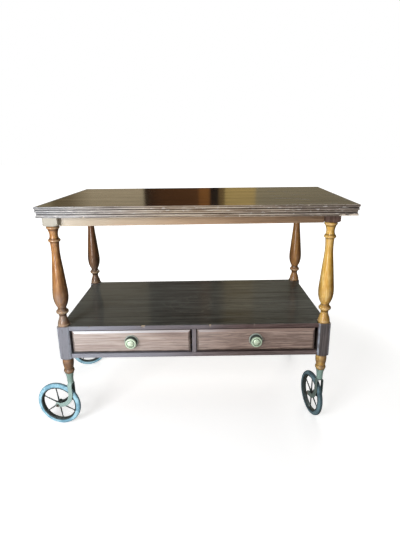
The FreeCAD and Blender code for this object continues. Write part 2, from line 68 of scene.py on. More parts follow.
Z_TOP, Z_TENON = level("front_left_leg", 1), level("front_left_leg", 0)
Z_FOOT, Z_CUP = level("front_left_ferrule", 1), level("front_left_ferrule", 0)
Z_SHELF = level("shelf_board", 1)
Z_UPPER, Z_LOWER = 656.0, 241.5
UPPER_BLOCK, LOWER_BLOCK = (42.0, 1.0), (36.0, 4.0)      # side, chamfer
TENON_R = 8.5
LEG_RUNS = [
    [(0, Z_TOP), (32, Z_TOP)],
    [(32, Z_TOP), (32, Z_UPPER + 9)],
    ["arc", (32, Z_UPPER + 9), (28.4, Z_UPPER + 3), (20, Z_UPPER)],
    [(20, Z_UPPER), (16, Z_UPPER)],
    ["arc", (16, 655), (18.6, 650.5), (15.6, 646)],
    [(15.6, 646), (12.8, 637), (12, 626), (14, 618)],
    [(14, 618), (15.2, 617.5)],
    ["arc", (15.2, 617.5), (17.3, 613.5), (15, 609.5)],
    [(15, 609.5), (12.9, 609)],
    [(12.9, 609), (11.8, 588), (15.3, 535), (21, 473), (22.5, 447), (18.2, 421), (12.2, 408)],
    [(12.2, 408), (13.2, 401.5)],
    ["arc", (13.2, 401.5), (18.2, 395), (13.2, 389)],
    [(13.2, 389), (11, 383.5), (12.2, 374), (16, 363.5), (18, 351.5)],
    [(18, 351.5), (18, Z_SHELF)],
    [(18, Z_SHELF), (30, Z_SHELF)],
    [(30, Z_SHELF), (30, Z_LOWER + 9)],
    ["arc", (30, Z_LOWER + 9), (24.3, Z_LOWER + 3), (17, Z_LOWER)],
    [(17, Z_LOWER), (15.6, Z_LOWER)],
    [(15.6, Z_LOWER), (16.7, 231), (16, 218), (13.6, 205)],
    [(13.6, 205), (14.2, 203)],
    ["arc", (14.2, 203), (16.2, 197.5), (14.2, 192)],
    [(14.2, 192), (12.4, Z_FOOT)],
    [(12.4, Z_FOOT), (TENON_R, Z_FOOT)],
    [(TENON_R, Z_FOOT), (TENON_R, Z_TENON)],
    [(TENON_R, Z_TENON), (0, Z_TENON)],
]
# rings that hands and cloths rub, and hollows that keep polish: height, half width
LEG_RUBBED = ((650.5, 3.5), (613.5, 3), (395, 4), (355, 3), (197.5, 3.5))
LEG_HOLLOWS = ((655.5, 2), (644.5, 2), (619, 1.6), (608.5, 2), (405.5, 4), (386, 4), (349.5, 1.5),
               (241, 3), (204, 1.6), (190, 2.5))


def smooth_run(points, step=1.6):
    """A natural cubic spline over the chord length of the points."""
    p = np.array(points, float)
    gap = np.hypot(*np.diff(p, axis=0).T)
    n = len(p)
    rows, right = np.eye(n), np.zeros((n, 2))
    for i in range(1, n - 1):
        rows[i, i - 1:i + 2] = gap[i - 1], 2 * (gap[i - 1] + gap[i]), gap[i]
        right[i] = 6 * ((p[i + 1] - p[i]) / gap[i] - (p[i] - p[i - 1]) / gap[i - 1])
    bend = np.linalg.solve(rows, right)
    knots = np.concatenate([[0], np.cumsum(gap)])
    s = np.linspace(0, knots[-1], max(3, int(knots[-1] / step)))
    k = np.clip(np.searchsorted(knots, s, "right") - 1, 0, n - 2)
    h, a, b = gap[k][:, None], (knots[k + 1] - s)[:, None], (s - knots[k])[:, None]
    return ((bend[k] * a ** 3 + bend[k + 1] * b ** 3) / (6 * h)
            + (p[k] / h - bend[k] * h / 6) * a + (p[k + 1] / h - bend[k + 1] * h / 6) * b)


def arc_run(start, middle, end, steps=12):
    """The circle through three points, from the first to the last."""
    a, b, c = (complex(*p) for p in (start, middle, end))
    w = (c - a) / (b - a)
    centre = a + (b - a) * (w - abs(w) ** 2) / (2j * w.imag)
    turn = np.angle((b - centre) / (a - centre)) + np.angle((c - centre) / (b - centre))
    ring = centre + (a - centre) * np.exp(1j * turn * np.linspace(0, 1, steps))
    return np.stack([ring.real, ring.imag], 1)


def turning(runs):
    """A turner's outline of (radius, height) from straight, arc and smooth runs."""
    parts = []
    for run in runs:
        if run[0] == "arc":
            parts.append(arc_run(*run[1:]))
        elif len(run) == 2:
            parts.append(np.array(run, float))
        else:
            parts.append(smooth_run(run))
    outline = np.vstack(parts)
    keep = np.hypot(*np.diff(outline, axis=0, prepend=-1e3).T) > 1e-6
    return outline[keep]


def square_reach(angle, side, chamfer):
    """Distance from the axis to the face of a chamfered square, in the direction of each angle."""
    half = side / 2
    quarter = (angle + math.pi / 4) % (math.pi / 2) - math.pi / 4
    flat = half / np.cos(quarter)
    corner = (2 * half - chamfer) / math.sqrt(2) / np.cos(np.abs(quarter) - math.pi / 4)
    return np.minimum(flat, corner)


def softer_min(a, b, ease):
    """The smaller of two surfaces, with the line where they meet rounded off."""
    return (a + b - np.sqrt((a - b) ** 2 + ease ** 2)) / 2


def quads(rows, columns, first):
    """Corner numbers of the faces between neighbouring points of a grid whose rows are closed."""
    number = np.arange(rows * columns).reshape(rows, columns) + first
    number = np.hstack([number, number[:, :1]])
    corners = [number[:-1, :-1], number[:-1, 1:], number[1:, 1:], number[1:, :-1]]
    return np.stack(corners, -1).reshape(-1, 4)


CREASE = math.radians(32)      # faces that meet at more than this have a sharp edge between them


def piece(name, grids, body, stands_for, material):
    """Makes one mesh of grids of points, each (rows, columns, 3) in millimetres with an optional
    fourth value, the wear and painted light.  Doubles are merged, open ends closed and faces
    turned outwards."""
    points, faces, count = [], [], 0
    for grid in grids:
        rows, columns = grid.shape[:2]
        flat = grid.reshape(-1, grid.shape[2])
        if flat.shape[1] == 3:
            flat = np.hstack([flat, np.zeros((len(flat), 1))])
        points.append(flat)
        faces.append(quads(rows, columns, count))
        count += len(flat)
    points, faces = np.vstack(points), np.vstack(faces)
    mesh = bpy.data.meshes.new(name)
    mesh.from_pydata((points[:, :3] * MM).tolist(), [], faces.tolist())
    wear_and_painted_light = mesh.attributes.new("wear_and_painted_light", "FLOAT", "POINT")
    wear_and_painted_light.data.foreach_set("value", points[:, 3].astype(np.float32))
    work = bmesh.new()
    work.from_mesh(mesh)
    bmesh.ops.remove_doubles(work, verts=work.verts, dist=2e-6)
    bmesh.ops.dissolve_degenerate(work, dist=1e-6, edges=work.edges)
    bmesh.ops.holes_fill(work, edges=[e for e in work.edges if e.is_boundary], sides=0)
    bmesh.ops.recalc_face_normals(work, faces=work.faces)
    for polygon in work.faces:
        polygon.smooth = True
    work.to_mesh(mesh)
    work.free()
    mesh.set_sharp_from_angle(angle=CREASE)
    made = bpy.data.objects.new(name, mesh)
    bpy.context.scene.collection.objects.link(made)
    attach(made, body)
    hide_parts(*stands_for)
    mesh.materials.append(material)
    return made


def bands(height, places):
    """1 at each listed height, falling to 0 over its half width."""
    centre, width = np.array(places, float).T
    return np.exp(-((height[:, None] - centre) / width) ** 2).max(1)


class Wire:
    """A socket in a finish.  Python's operators add Math nodes, and node() adds any other."""

    def __init__(self, tree, socket=None):
        self.tree = tree
        self.socket = socket

    def fill(self, made, inputs):
        """Sets the sockets of a node that is there already."""
        for key, value in inputs.items():
            if isinstance(value, Wire):
                self.tree.links.new(value.socket, made.inputs[key])
            else:
                made.inputs[key].default_value = value

    def node(self, kind, inputs, output=0, stops=(), **settings):
        """Adds a node: first its settings and a ramp's stops, then the values of its sockets."""
        made = self.tree.nodes.new("ShaderNode" + kind)
        for name, value in settings.items():
            setattr(made, name, value)
        for number, (place, tone) in enumerate(stops):
            marks = made.color_ramp.elements
            mark = marks[number] if number < 2 else marks.new(place)
            mark.position = place
            mark.color = (*tone, 1)
        self.fill(made, inputs)
        return Wire(self.tree, made.outputs[output])

    def maths(self, operation, first, second):
        """A Math node on two values."""
        return self.node("Math", {0: first, 1: second}, operation=operation)

    def __add__(self, other):
        return self.maths("ADD", self, other)

    def __sub__(self, other):
        return self.maths("SUBTRACT", self, other)

    def __rsub__(self, other):
        return self.maths("SUBTRACT", other, self)

    def __mul__(self, other):
        return self.maths("MULTIPLY", self, other)

    __radd__ = __add__
    __rmul__ = __mul__

    def __abs__(self):
        return self.maths("ABSOLUTE", self, 0.0)

    def axis(self, number):
        """One coordinate of a place: 0 for X, 1 for Y and 2 for Z."""
        return self.node("SeparateXYZ", {0: self}, output=number)

    def either(self, other):
        """The larger of two masks."""
        return self.maths("MAXIMUM", self, other)

    def fade(self, low, high):
        """0 below low, 1 above high and a soft step between; the other way round if low > high."""
        return self.node("MapRange", {0: self, 1: low, 2: high},
                         interpolation_type="SMOOTHSTEP")

    def tint(self, plain, marked):
        """A colour that goes from plain to marked as this mask goes from 0 to 1."""
        return self.node("Mix", {0: self, 6: colour(plain), 7: colour(marked)}, output=2,
                         data_type="RGBA")


def colour(value):
    """Gives a plain colour its fourth number and leaves a wire as it is."""
    return value if isinstance(value, Wire) else (*value, 1)


def darker(tone, share):
    """A plain colour, brought down to a share of itself."""
    return tuple(share * part for part in tone)


def layered(body, *layers):
    """Lays tones over a colour, one after the other, each through its own mask."""
    for mask, tone in layers:
        body = mask.tint(body, tone)
    return body


def finish(name):
    """A new material, its shader's sockets, and the place of each point on the object."""
    material = bpy.data.materials.new(name)
    material.use_nodes = True
    tree = material.node_tree
    place = Wire(tree).node("TexCoord", {}, output="Object")
    return material, tree.nodes["Principled BSDF"], place


def read_wear_and_light(place):
    """The wear and painted light that a mesh carries: above 0 where it is rubbed or a highlight is
    painted, below 0 where dirt has stayed or shade is painted.
    """
    return place.node("Attribute", {}, output="Fac", attribute_name="wear_and_painted_light")


def relief(height, depth, strength):
    """Fine bumps in a finish.  The depth is in metres."""
    return height.node("Bump", {"Height": height, "Distance": depth, "Strength": strength})


def speckle(place, scale, detail=3.0, rough=0.5, swirl=0.0):
    """Noise between about 0.25 and 0.75.  The scale may differ along X, Y and Z."""
    spread = scale if isinstance(scale, tuple) else (scale,) * 3
    moved = place.node("Mapping", {"Vector": place, "Scale": spread})
    return place.node("TexNoise", {"Vector": moved, "Scale": 1.0, "Detail": detail,
                                   "Roughness": rough, "Distortion": swirl})


GRAIN = {"X": (1.0, 18.0, 18.0), "Y": (18.0, 1.0, 18.0), "Z": (18.0, 18.0, 1.0)}


def stretched(run, scale):
    """The scale of a noise that is drawn out along the grain."""
    return tuple(scale * s for s in GRAIN[run])


def wood(name, run, tones, turn=0.0, figure=0.5, pores=0.6):
    """Stained wood.  Tones go from the darkest streaks to the palest figure; run is the axis that
    the grain follows and turn its angle in the floor plane."""
    material, shader, place = finish(name)
    if turn:
        place = place.node("Mapping", {"Vector": place, "Rotation": (0, 0, -turn)})
    broad = speckle(place, stretched(run, 1.6), 4.0, 0.55, 0.6)
    streak = speckle(place, stretched(run, 12.0), 5.0, 0.6, 0.2)
    pore = speckle(place, stretched(run, 20.0), 3.0, 0.55).fade(0.54, 0.64)
    shade = broad.fade(0.5 - figure / 2, 0.5 + figure / 2) * 0.5 + streak.fade(0.35, 0.65) * 0.5
    stops = [(0.12 + 0.76 * k / (len(tones) - 1), tone) for k, tone in enumerate(tones)]
    body = shade.node("ValToRGB", {0: shade}, stops=stops)
    body = (pore * pores).tint(body, darker(tones[0], 0.6))
    return material, shader, place, body, streak, pore, read_wear_and_light(place)


def varnish(shader, wire, body, rough, bump, depth=0.0002, coat=0.4, coat_rough=0.12, level=0.5):
    """Feeds the shader: colour, roughness, and a fine relief under a coat of varnish."""
    wire.fill(shader, {"Base Color": body, "Roughness": rough, "Normal": relief(bump, depth, 0.6),
                       "Coat Weight": coat, "Coat Roughness": coat_rough,
                       "Specular IOR Level": level})


def left_end_painted_light(place, body, painted_sheen, share, reach=0.0):
    """Painted light: the colour goes to a pale sheen towards the left end of the trolley, where the
    window light falls.  It fades out near the middle, or further along by its reach."""
    along = place.axis(0)
    cloud = speckle(place, (4.0, 12.0, 12.0), 4.0)
    return ((along + 0.35 * cloud).fade(0.42 + reach, reach - 0.2) * share).tint(body, painted_sheen)


# colours of the painted sheen of window light towards the left end
CREAM_SHEEN, HONEY_SHEEN, COOL_SHEEN = (0.48, 0.455, 0.365), (0.52, 0.33, 0.19), (0.3, 0.31, 0.36)


def leg_wood(name, axis, tones, grey_near_shelf, shade_lean):
    """Golden varnish, greyer near the shelf, darker on the foot, pale on the rubbed rings and dark in
    the hollows, with painted shade on the side away from the window and at the far left rim.  The
    square blocks are stained, with a painted sheen of light towards the left end."""
    material, shader, place, body, streak, pore, wear_and_painted_light = wood(name, "Z", tones, figure=0.8,
                                                             pores=0.3)
    height = place.axis(2)
    aside = place.axis(0) - (float(axis) - shade_lean) * MM
    mottled = speckle(place, 60.0, 4.0).fade(0.35, 0.65)
    low = height.fade(0.5, 0.39) * (height.fade(0.24, 0.26) * grey_near_shelf)
    # painted shade: darker on the side of each leg away from the window and at its far left rim
    painted_shade_sides = (aside.fade(-0.001, 0.016) * 0.84).either(aside.fade(-0.009, -0.02) * 0.72)
    foot = height.fade(0.27, 0.22) * 0.75
    body = layered(
        body,
        (low * (0.5 + 0.5 * mottled), (0.24, 0.205, 0.175)),
        (mottled * streak.fade(0.35, 0.6) * 0.4, tones[0]),
        (painted_shade_sides * (0.8 + 0.2 * mottled), darker(tones[0], 0.25)),
        (wear_and_painted_light.fade(0.2, 0.9) * (0.15 + 0.35 * mottled), (0.62, 0.46, 0.28)),
        (wear_and_painted_light.fade(-0.1, -0.7) * 0.7, darker(tones[0], 0.2)),
        (foot * (0.5 + 0.5 * mottled), (0.15, 0.1, 0.075)))
    edge = 0.0008
    upper = height.fade(Z_UPPER * MM - edge, Z_UPPER * MM + edge)
    lower = (height.fade(Z_SHELF * MM + edge, Z_SHELF * MM - edge)
             * height.fade(Z_LOWER * MM - edge, Z_LOWER * MM + edge))
    grain = streak.fade(0.35, 0.65)
    # painted sheen of window light towards the left end, cream on the upper blocks, cool on the lower
    plain = left_end_painted_light(place, grain.tint((0.08, 0.042, 0.03), (0.15, 0.09, 0.068)), CREAM_SHEEN, 0.66)
    stained = layered(
        left_end_painted_light(place, grain.tint((0.05, 0.04, 0.04), (0.11, 0.09, 0.088)), COOL_SHEEN, 0.56),
        (mottled * pore * 0.6, (0.03, 0.03, 0.035)),
        (wear_and_painted_light.fade(0.3, 0.9) * (0.25 + 0.6 * mottled), (0.36, 0.39, 0.45)))
    body = layered(body, (upper, plain), (lower, stained))
    rough = 0.24 + 0.1 * streak + 0.08 * mottled + 0.12 * lower
    varnish(shader, place, body, rough + 0.1 * upper, streak + pore * -0.6,
            coat=0.8 - 0.65 * upper - 0.4 * lower, coat_rough=0.1)
    return material


# how many steps round the leg, how far apart its rings may be, and how far the line between the
# turned and the square parts is eased
LEG_STEPS, LEG_SPACING, BLOCK_EASE = 72, 4, 0.6


def leg_grid():
    """Rings of points down the leg: the turned radius, cut off by the square blocks."""
    outline = turning(LEG_RUNS)
    dense = []
    for (r0, z0), (r1, z1) in zip(outline[:-1], outline[1:]):
        parts = max(1, int(math.hypot(r1 - r0, z1 - z0) / LEG_SPACING))
        dense += [(r0 + (r1 - r0) * k / parts, z0 + (z1 - z0) * k / parts) for k in range(parts)]
    radius, height = np.array(dense + [tuple(outline[-1])]).T
    special = [math.atan(1 - 2 * chamfer / side) for side, chamfer in (UPPER_BLOCK, LOWER_BLOCK)]
    quarter = np.concatenate([np.linspace(0, math.pi / 4, LEG_STEPS // 8 + 1), special])
    quarter = np.unique(np.concatenate([quarter, math.pi / 2 - quarter]).round(6))[:-1]
    angle = np.concatenate([quarter + k * math.pi / 2 for k in range(4)])
    reach = np.full((len(height), len(angle)), 1e4)
    upper = height >= Z_UPPER
    lower = (height <= Z_SHELF) & (height >= Z_LOWER)
    reach[upper] = square_reach(angle, *UPPER_BLOCK)
    reach[lower] = square_reach(angle, *LOWER_BLOCK)
    r = np.where(reach < 1e3, softer_min(reach, radius[:, None], BLOCK_EASE), radius[:, None])
    r = np.where(radius[:, None] < 0.01, 0, np.maximum(r, 0))
    wear_and_painted_light = bands(height, LEG_RUBBED) - bands(height, LEG_HOLLOWS)
    # the lower blocks' chamfers are pale: part wear, part painted highlight where their edges catch the light
    on_chamfer = np.abs((angle % (math.pi / 2)) - math.pi / 4) < math.pi / 4 - special[1] + 1e-4
    wear_and_painted_light = np.where(lower[:, None] & on_chamfer, 1.0, wear_and_painted_light[:, None])
    z = np.broadcast_to(height[:, None], r.shape)
    return np.stack([r * np.cos(angle), r * np.sin(angle), z, wear_and_painted_light], -1)


def middle(node):
    """The middle of a node's box, in millimetres."""
    lo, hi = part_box(node)
    return np.array((lo + hi) / 2) / MM


# three tones of the varnish, lighter or darker on each leg as painted light and shade, how much
# greyer it is near the shelf, and how far, in millimetres, its painted shade side reaches round
# towards the front
LEG_TONES_AS_LIT = {
    "front_left": ([(0.26, 0.1, 0.03), (0.45, 0.205, 0.064), (0.64, 0.37, 0.14)], 0.9, 0),
    "front_right": ([(0.58, 0.265, 0.03), (0.79, 0.46, 0.08), (0.94, 0.71, 0.31)], 0.35, 5),
    "rear_left": ([(0.12, 0.046, 0.016), (0.21, 0.09, 0.032), (0.32, 0.155, 0.058)], 0.5, 0),
    "rear_right": ([(0.3, 0.12, 0.034), (0.48, 0.22, 0.058), (0.64, 0.34, 0.1)], 0.3, 3),
}
leg_shape = leg_grid()
for corner in CORNERS:
    axis = middle(corner + "_ferrule")[:2]
    shifted = leg_shape + np.array([*axis, 0, 0])
    piece(corner + "_turned_leg", [shifted], "frame", [corner + "_leg"],
          leg_wood(corner + "_leg_varnish", axis[0], *LEG_TONES_AS_LIT[corner]))

# ---- Ferrules ----
# A tapered brass cup with a rolled rim covers each foot's tenon and guides the caster's stem.
# Unpolished brass has gone green in the air, and browner where the green has rubbed off.
STEM_R = 4.0
CUP_RUNS = [
    [(TENON_R, Z_FOOT), (12, Z_FOOT)],
    ["arc", (12, Z_FOOT), (13.2, Z_FOOT - 1.5), (12, Z_FOOT - 3)],
    [(12, Z_FOOT - 3), (10, 172), (9.4, 163), (9.6, Z_CUP + 2)],
    [(9.6, Z_CUP + 2), (9, Z_CUP)],
    [(9, Z_CUP), (STEM_R + 0.2, Z_CUP)],
]


def spun(runs, axis, turn=None, steps=48, wear_and_painted_light=None):
    """A grid spun about Z from an outline, turned by an optional matrix and moved to its axis."""
    radius, height = turning(runs).T
    angle = np.linspace(0, 2 * math.pi, steps, endpoint=False)
    ring = np.stack([np.cos(angle), np.sin(angle)], -1)
    grid = np.empty((len(radius), steps, 3))
    grid[..., :2] = radius[:, None, None] * ring
    grid[..., 2] = height[:, None]
    if turn is not None:
        grid = grid @ np.array(turn).T
    grid = grid + np.array(axis)
    rubbed = np.zeros(len(radius)) if wear_and_painted_light is None else wear_and_painted_light(radius, height)
    rubbed = np.broadcast_to(rubbed[:, None], grid.shape[:2])
    return np.concatenate([grid, rubbed[..., None]], -1)


def old_brass(name, green, bare, dark, share=0.5, painted_shade_tone=None):
    """Brass under verdigris: green where it is undisturbed, bare on the rubbed parts, and dark in the
    hollows and where the mesh carries painted shade.  Given a shaded colour, it has painted shade
    towards the right end of the trolley."""
    material, shader, place = finish(name)
    wear_and_painted_light = read_wear_and_light(place)
    cloud = speckle(place, 90.0, 5.0, 0.62)
    fine = speckle(place, 600.0, 3.0, 0.6)
    clean = (cloud + 0.35 * fine + 0.25 * wear_and_painted_light).fade(0.72 + 0.2 * share, 0.9 + 0.2 * share)
    # painted shade: towards the right end the green goes to the shaded colour
    green_with_painted_shade = left_end_painted_light(place, painted_shade_tone, green, 1.0, 0.1) if painted_shade_tone else green
    body = layered(green_with_painted_shade, (clean, bare), (fine.fade(0.56, 0.7), darker(green, 0.75)),
                   (wear_and_painted_light.fade(-0.1, -0.9) * 0.85, dark))
    place.fill(shader, {"Base Color": body, "Roughness": 0.62 - 0.32 * clean,
                        "Metallic": 0.25 + 0.6 * clean,
                        "Normal": relief(cloud + 0.4 * fine, 0.0004, 0.5)})
    return material


GREEN, BARE_BRASS, BROWN = (0.27, 0.395, 0.345), (0.4, 0.3, 0.15), (0.03, 0.028, 0.02)
ferrule_brass = old_brass("ferrule_verdigris", GREEN, BARE_BRASS, BROWN, 0.6)
for corner in CORNERS:
    axis = (*middle(corner + "_ferrule")[:2], 0)
    piece(corner + "_ferrule_cup", [spun(CUP_RUNS, axis)], "frame",
          [corner + "_ferrule"], ferrule_brass)

# ---- Aprons and pivot rail ----
# Four plain rails join the upper blocks, and one more crosses between them to carry the swivel.
# They are sawn boards with their arrises eased, varnished a lighter tan than the rest.


def eased_board(node, material, ease=0.7):
    """Keeps a node's own solid, with its sharp corners rounded by a bevel."""
    board = frame["nodes"][node]
    weld = board.modifiers.new("weld", "WELD")
    weld.merge_threshold = 1e-5
    bevel = board.modifiers.new("eased", "BEVEL")
    bevel.width = ease * MM
    bevel.segments = 2
    bevel.limit_method = "ANGLE"
    bevel.angle_limit = math.radians(40)
    for place in board.material_slots:
        place.link = "OBJECT"
        place.material = material


def rail_wood(name, run, tones, painted_sheens=()):
    """A plain board: streaks along the grain, patches of wear, painted sheens of light towards the
    left end, and a dull varnish.
    """
    material, shader, place, body, streak, pore, wear_and_painted_light = wood(name, run, tones)
    cloud = speckle(place, 9.0, 4.0).fade(0.38, 0.66)
    body = (cloud * 0.35).tint(body, tones[-1])
    for painted_sheen in painted_sheens:
        body = left_end_painted_light(place, body, *painted_sheen)
    varnish(shader, place, body, 0.36 + 0.16 * streak + 0.08 * cloud, streak + pore * -0.6)
    return material


APRON_TONES = [(0.085, 0.042, 0.02), (0.165, 0.092, 0.048), (0.27, 0.165, 0.09)]
# painted sheen of window light on the aprons: honey, then cream nearer the left end
APRON_SHEENS = ((HONEY_SHEEN, 0.72, 0.25), (CREAM_SHEEN, 0.66, -0.08))
apron_along = rail_wood("apron_varnish_along", "X", APRON_TONES, APRON_SHEENS)
apron_across = rail_wood("apron_varnish_across", "Y", APRON_TONES, APRON_SHEENS)
for node in ("front_apron", "back_apron"):
    eased_board(node, apron_along)
for node in ("left_apron", "right_apron", "pivot_rail"):
    eased_board(node, apron_across)

# ---- Shelf and drawer carcass ----
# The shelf is one glued-up board, notched round the legs, over side and back panels, a bottom rail
# and a divider.  The stain is nearly black, and chips on the front arris show bare wood.
SHELF_ARRIS, RUBBED_REACH = 1.1, 4.0
# chips: x, half width, depth
SHELF_CHIPS = ((-130.0, 7.0, 2.6), (69.0, 4.0, 1.9), (200.0, 3.0, 1.0), (-290.0, 3.0, 0.9))


def outline_rings(corners, insets, plain=(), spacing=6.0):
    """Rings of points inside a closed outline, which runs anticlockwise.  Each side moves in by
    each inset, but for the plain ones, and the corners stay mitred.  Also gives the directions
    outwards and how far round the outline each point lies."""
    start = np.array(corners, float)
    side = np.roll(start, -1, 0) - start
    length = np.hypot(*side.T)
    outward = np.stack([side[:, 1], -side[:, 0]], 1) / length[:, None]
    moves = np.ones(len(start))
    moves[list(plain)] = 0
    pair = np.stack([np.roll(outward, 1, 0), outward], 1)
    mitre = np.linalg.solve(pair, np.stack([np.roll(moves, 1), moves], 1)[..., None])[..., 0]
    ring = start - np.multiply.outer(np.array(insets, float), mitre)
    ends = np.roll(ring, -1, 1)
    parts, out, place = [], [], []
    for k, long in enumerate(length):
        share = np.arange(max(1, int(long / spacing))) / max(1, int(long / spacing))
        parts.append(ring[:, k, None] + (ends[:, k, None] - ring[:, k, None]) * share[:, None])
        out.append(np.repeat(outward[k][None], len(share), 0))
        place.append(length[:k].sum() + share * long)
    return np.concatenate(parts, 1), np.concatenate(out), np.concatenate(place)


def eased(points, radius, steps=4):
    """A polyline with each inner corner rounded over its radius."""
    p = np.array(points, float)
    back, ahead = p[:-2] - p[1:-1], p[2:] - p[1:-1]
    reach = np.broadcast_to(np.array(radius, float), (len(p) - 2,))[:, None]
    a = p[1:-1] + reach * back / np.hypot(*back.T)[:, None]
    b = p[1:-1] + reach * ahead / np.hypot(*ahead.T)[:, None]
    t = np.linspace(0, 1, steps)[:, None, None]
    curve = (1 - t) ** 2 * a + 2 * t * (1 - t) * p[1:-1] + t ** 2 * b
    return np.vstack([p[:1], curve.transpose(1, 0, 2).reshape(-1, 2), p[-1:]])


def ragged(place, seed, step=14.0):
    """Even wear along an edge, between 0 and 1, with a slow random run."""
    knots = np.arange(0, place.max() + 2 * step, step)
    values = np.random.default_rng(seed).random(len(knots))
    values[-2:] = values[:2]
    return np.interp(place, knots, values)


lo, hi = span("shelf_board")
west, south = middle("front_left_ferrule")[:2] + LOWER_BLOCK[0] / 2
east, north = middle("rear_right_ferrule")[:2] - LOWER_BLOCK[0] / 2
shelf_corners = [
    (west, lo[1]), (east, lo[1]), (east, south), (hi[0], south), (hi[0], north), (east, north),
    (east, hi[1]), (west, hi[1]), (west, north), (lo[0], north), (lo[0], south), (west, south),
]
section = eased([(6, lo[2]), (0, lo[2]), (0, hi[2]), (6, hi[2])], SHELF_ARRIS, 5)
rings, outward, place = outline_rings(shelf_corners, section[:, 0], spacing=2.0)
z = np.broadcast_to(section[:, 1, None], rings.shape[:2]).copy()
front = np.abs(rings[0, :, 1] - lo[1]) < 8
from_arris = np.hypot(section[:, 0], hi[2] - section[:, 1])
near_top = (np.clip(1 - (hi[2] - z) / RUBBED_REACH, 0, 1)
            * (from_arris < RUBBED_REACH)[:, None])
rub = ragged(place, 3) ** 3 * 0.7
wear_and_painted_light = near_top * (0.25 + rub)
bite = np.zeros(len(place))
for x, wide, deep in SHELF_CHIPS:
    off = np.abs(rings[0, :, 0] - x) / wide
    bite = np.maximum(bite, front * deep * np.clip(1 - off, 0, 1) ** 0.6)
rings = rings - near_top[..., None] * (bite + 0.3 * rub)[:, None] * outward
z = z - near_top * bite * 0.8
wear_and_painted_light = np.maximum(wear_and_painted_light, near_top * np.clip(bite / 1.2, 0, 1) * 2)
shelf_grid = np.concatenate([rings, z[..., None], wear_and_painted_light[..., None]], -1)

SHELF_TONES = [(0.018, 0.019, 0.018), (0.061, 0.068, 0.062), (0.113, 0.126, 0.114)]
BARE_WOOD = (0.6, 0.48, 0.33)
# metres: the joints between the shelf's planks, and the rings that a dish has scratched
PLANK_JOINTS = (-0.028, -0.178)
RINGS = (((0.01, -0.08), 0.07), ((0.026, -0.055), 0.056), ((-0.045, -0.05), 0.045))
material, shader, place, body, streak, pore, wear_and_painted_light = wood("shelf_stain", "X", SHELF_TONES)
across = place.axis(1)
joints = across * 0.0
for joint in PLANK_JOINTS:
    joints = joints.either(abs(across - joint).fade(0.0026, 0.0006))
scratched = speckle(place, 130.0, 4.0, 0.7).fade(0.44, 0.6)
scuffs = speckle(place, (26.0, 60.0, 60.0), 6.0, 0.7, 1.5).fade(0.58, 0.7)
for (x, y), radius in RINGS:
    from_ring = place.node("VectorMath", {0: place, 1: (x, y, Z_SHELF * MM)}, output="Value",
                           operation="DISTANCE") - radius
    scuffs = scuffs.either(abs(from_ring).fade(0.008, 0.001) * scratched)
upright = place.node("TexCoord", {}, output="Normal").axis(2)
# painted sheen of window light towards the left end, on the shelf's face and its front edge
edge_tone = left_end_painted_light(place, streak.fade(0.3, 0.7).tint((0.065, 0.036, 0.033), (0.12, 0.076, 0.07)),
                    COOL_SHEEN, 0.85)
body = layered(
    left_end_painted_light(place, body, (0.13, 0.14, 0.135), 0.5),
    (joints * 0.7, (0.006, 0.004, 0.003)),
    (scuffs * 0.6, (0.16, 0.17, 0.145)),
    (abs(upright).fade(0.75, 0.5) * 0.9, edge_tone),
    (wear_and_painted_light.fade(0.3, 1.0) * 0.5, (0.24, 0.19, 0.16)),
    (wear_and_painted_light.fade(1.2, 1.6), BARE_WOOD))
rows = speckle(place, (2.5, 60.0, 60.0), 5.0, 0.65)
varnish(shader, place, body, 0.3 + 0.16 * streak + 0.2 * scuffs, streak + pore * -0.6 - joints,
        coat=0.36 + 0.9 * (rows - 0.5), coat_rough=0.1, level=0.1)
piece("shelf", [shelf_grid], "frame", ["shelf_board"], material)

CARCASS_TONES = [(0.055, 0.034, 0.031), (0.1, 0.068, 0.064), (0.155, 0.11, 0.1)]
# painted cool sheen of window light towards the left end
carcass_along = rail_wood("carcass_stain_along", "X", CARCASS_TONES, ((COOL_SHEEN, 0.8),))
carcass_across = rail_wood("carcass_stain_across", "Y", CARCASS_TONES, ((COOL_SHEEN, 0.6),))
carcass_up = rail_wood("carcass_stain_up", "Z", CARCASS_TONES, ((COOL_SHEEN, 0.8),))
for node, material in (("bottom_rail", carcass_along), ("back_panel", carcass_along),
                       ("left_side_panel", carcass_across), ("right_side_panel", carcass_across),
                       ("centre_divider", carcass_up)):
    eased_board(node, material)

BARE_TONES = [(0.3, 0.19, 0.1), (0.42, 0.29, 0.17), (0.55, 0.41, 0.26)]
bare_along = rail_wood("bare_wood_along", "X", BARE_TONES)
bare_across = rail_wood("bare_wood_across", "Y", BARE_TONES)
for node in ("drawer_runners", "drawer_guides"):
    eased_board(node, bare_across)

# ---- Drawers ----
# Each front is a raised field with a bevel all round.  Its box is bare wood: two grooved sides and
# a back, with a thin bottom slid into the groove.  A screw from inside holds the knob.
BEVEL_W, BEVEL_D = 6.0, 4.0
DRAWER_TONES = [(0.15, 0.096, 0.076), (0.29, 0.205, 0.168), (0.43, 0.325, 0.27)]
material, shader, place, body, streak, pore, wear_and_painted_light = wood("drawer_stain", "X", DRAWER_TONES,
                                                         figure=0.4, pores=0.7)
fine = speckle(place, (7.0, 300.0, 300.0), 3.0, 0.6).fade(0.38, 0.6)
# painted sheen of window light, pale towards the left end
body = left_end_painted_light(place, body, fine.tint((0.59, 0.51, 0.465), (0.36, 0.285, 0.258)), 0.76)
# painted shade: the lower and side bevels and the front's outer edges are darkened
body = (wear_and_painted_light.fade(-0.1, -0.8) * 0.8).tint(body, (0.03, 0.02, 0.018))
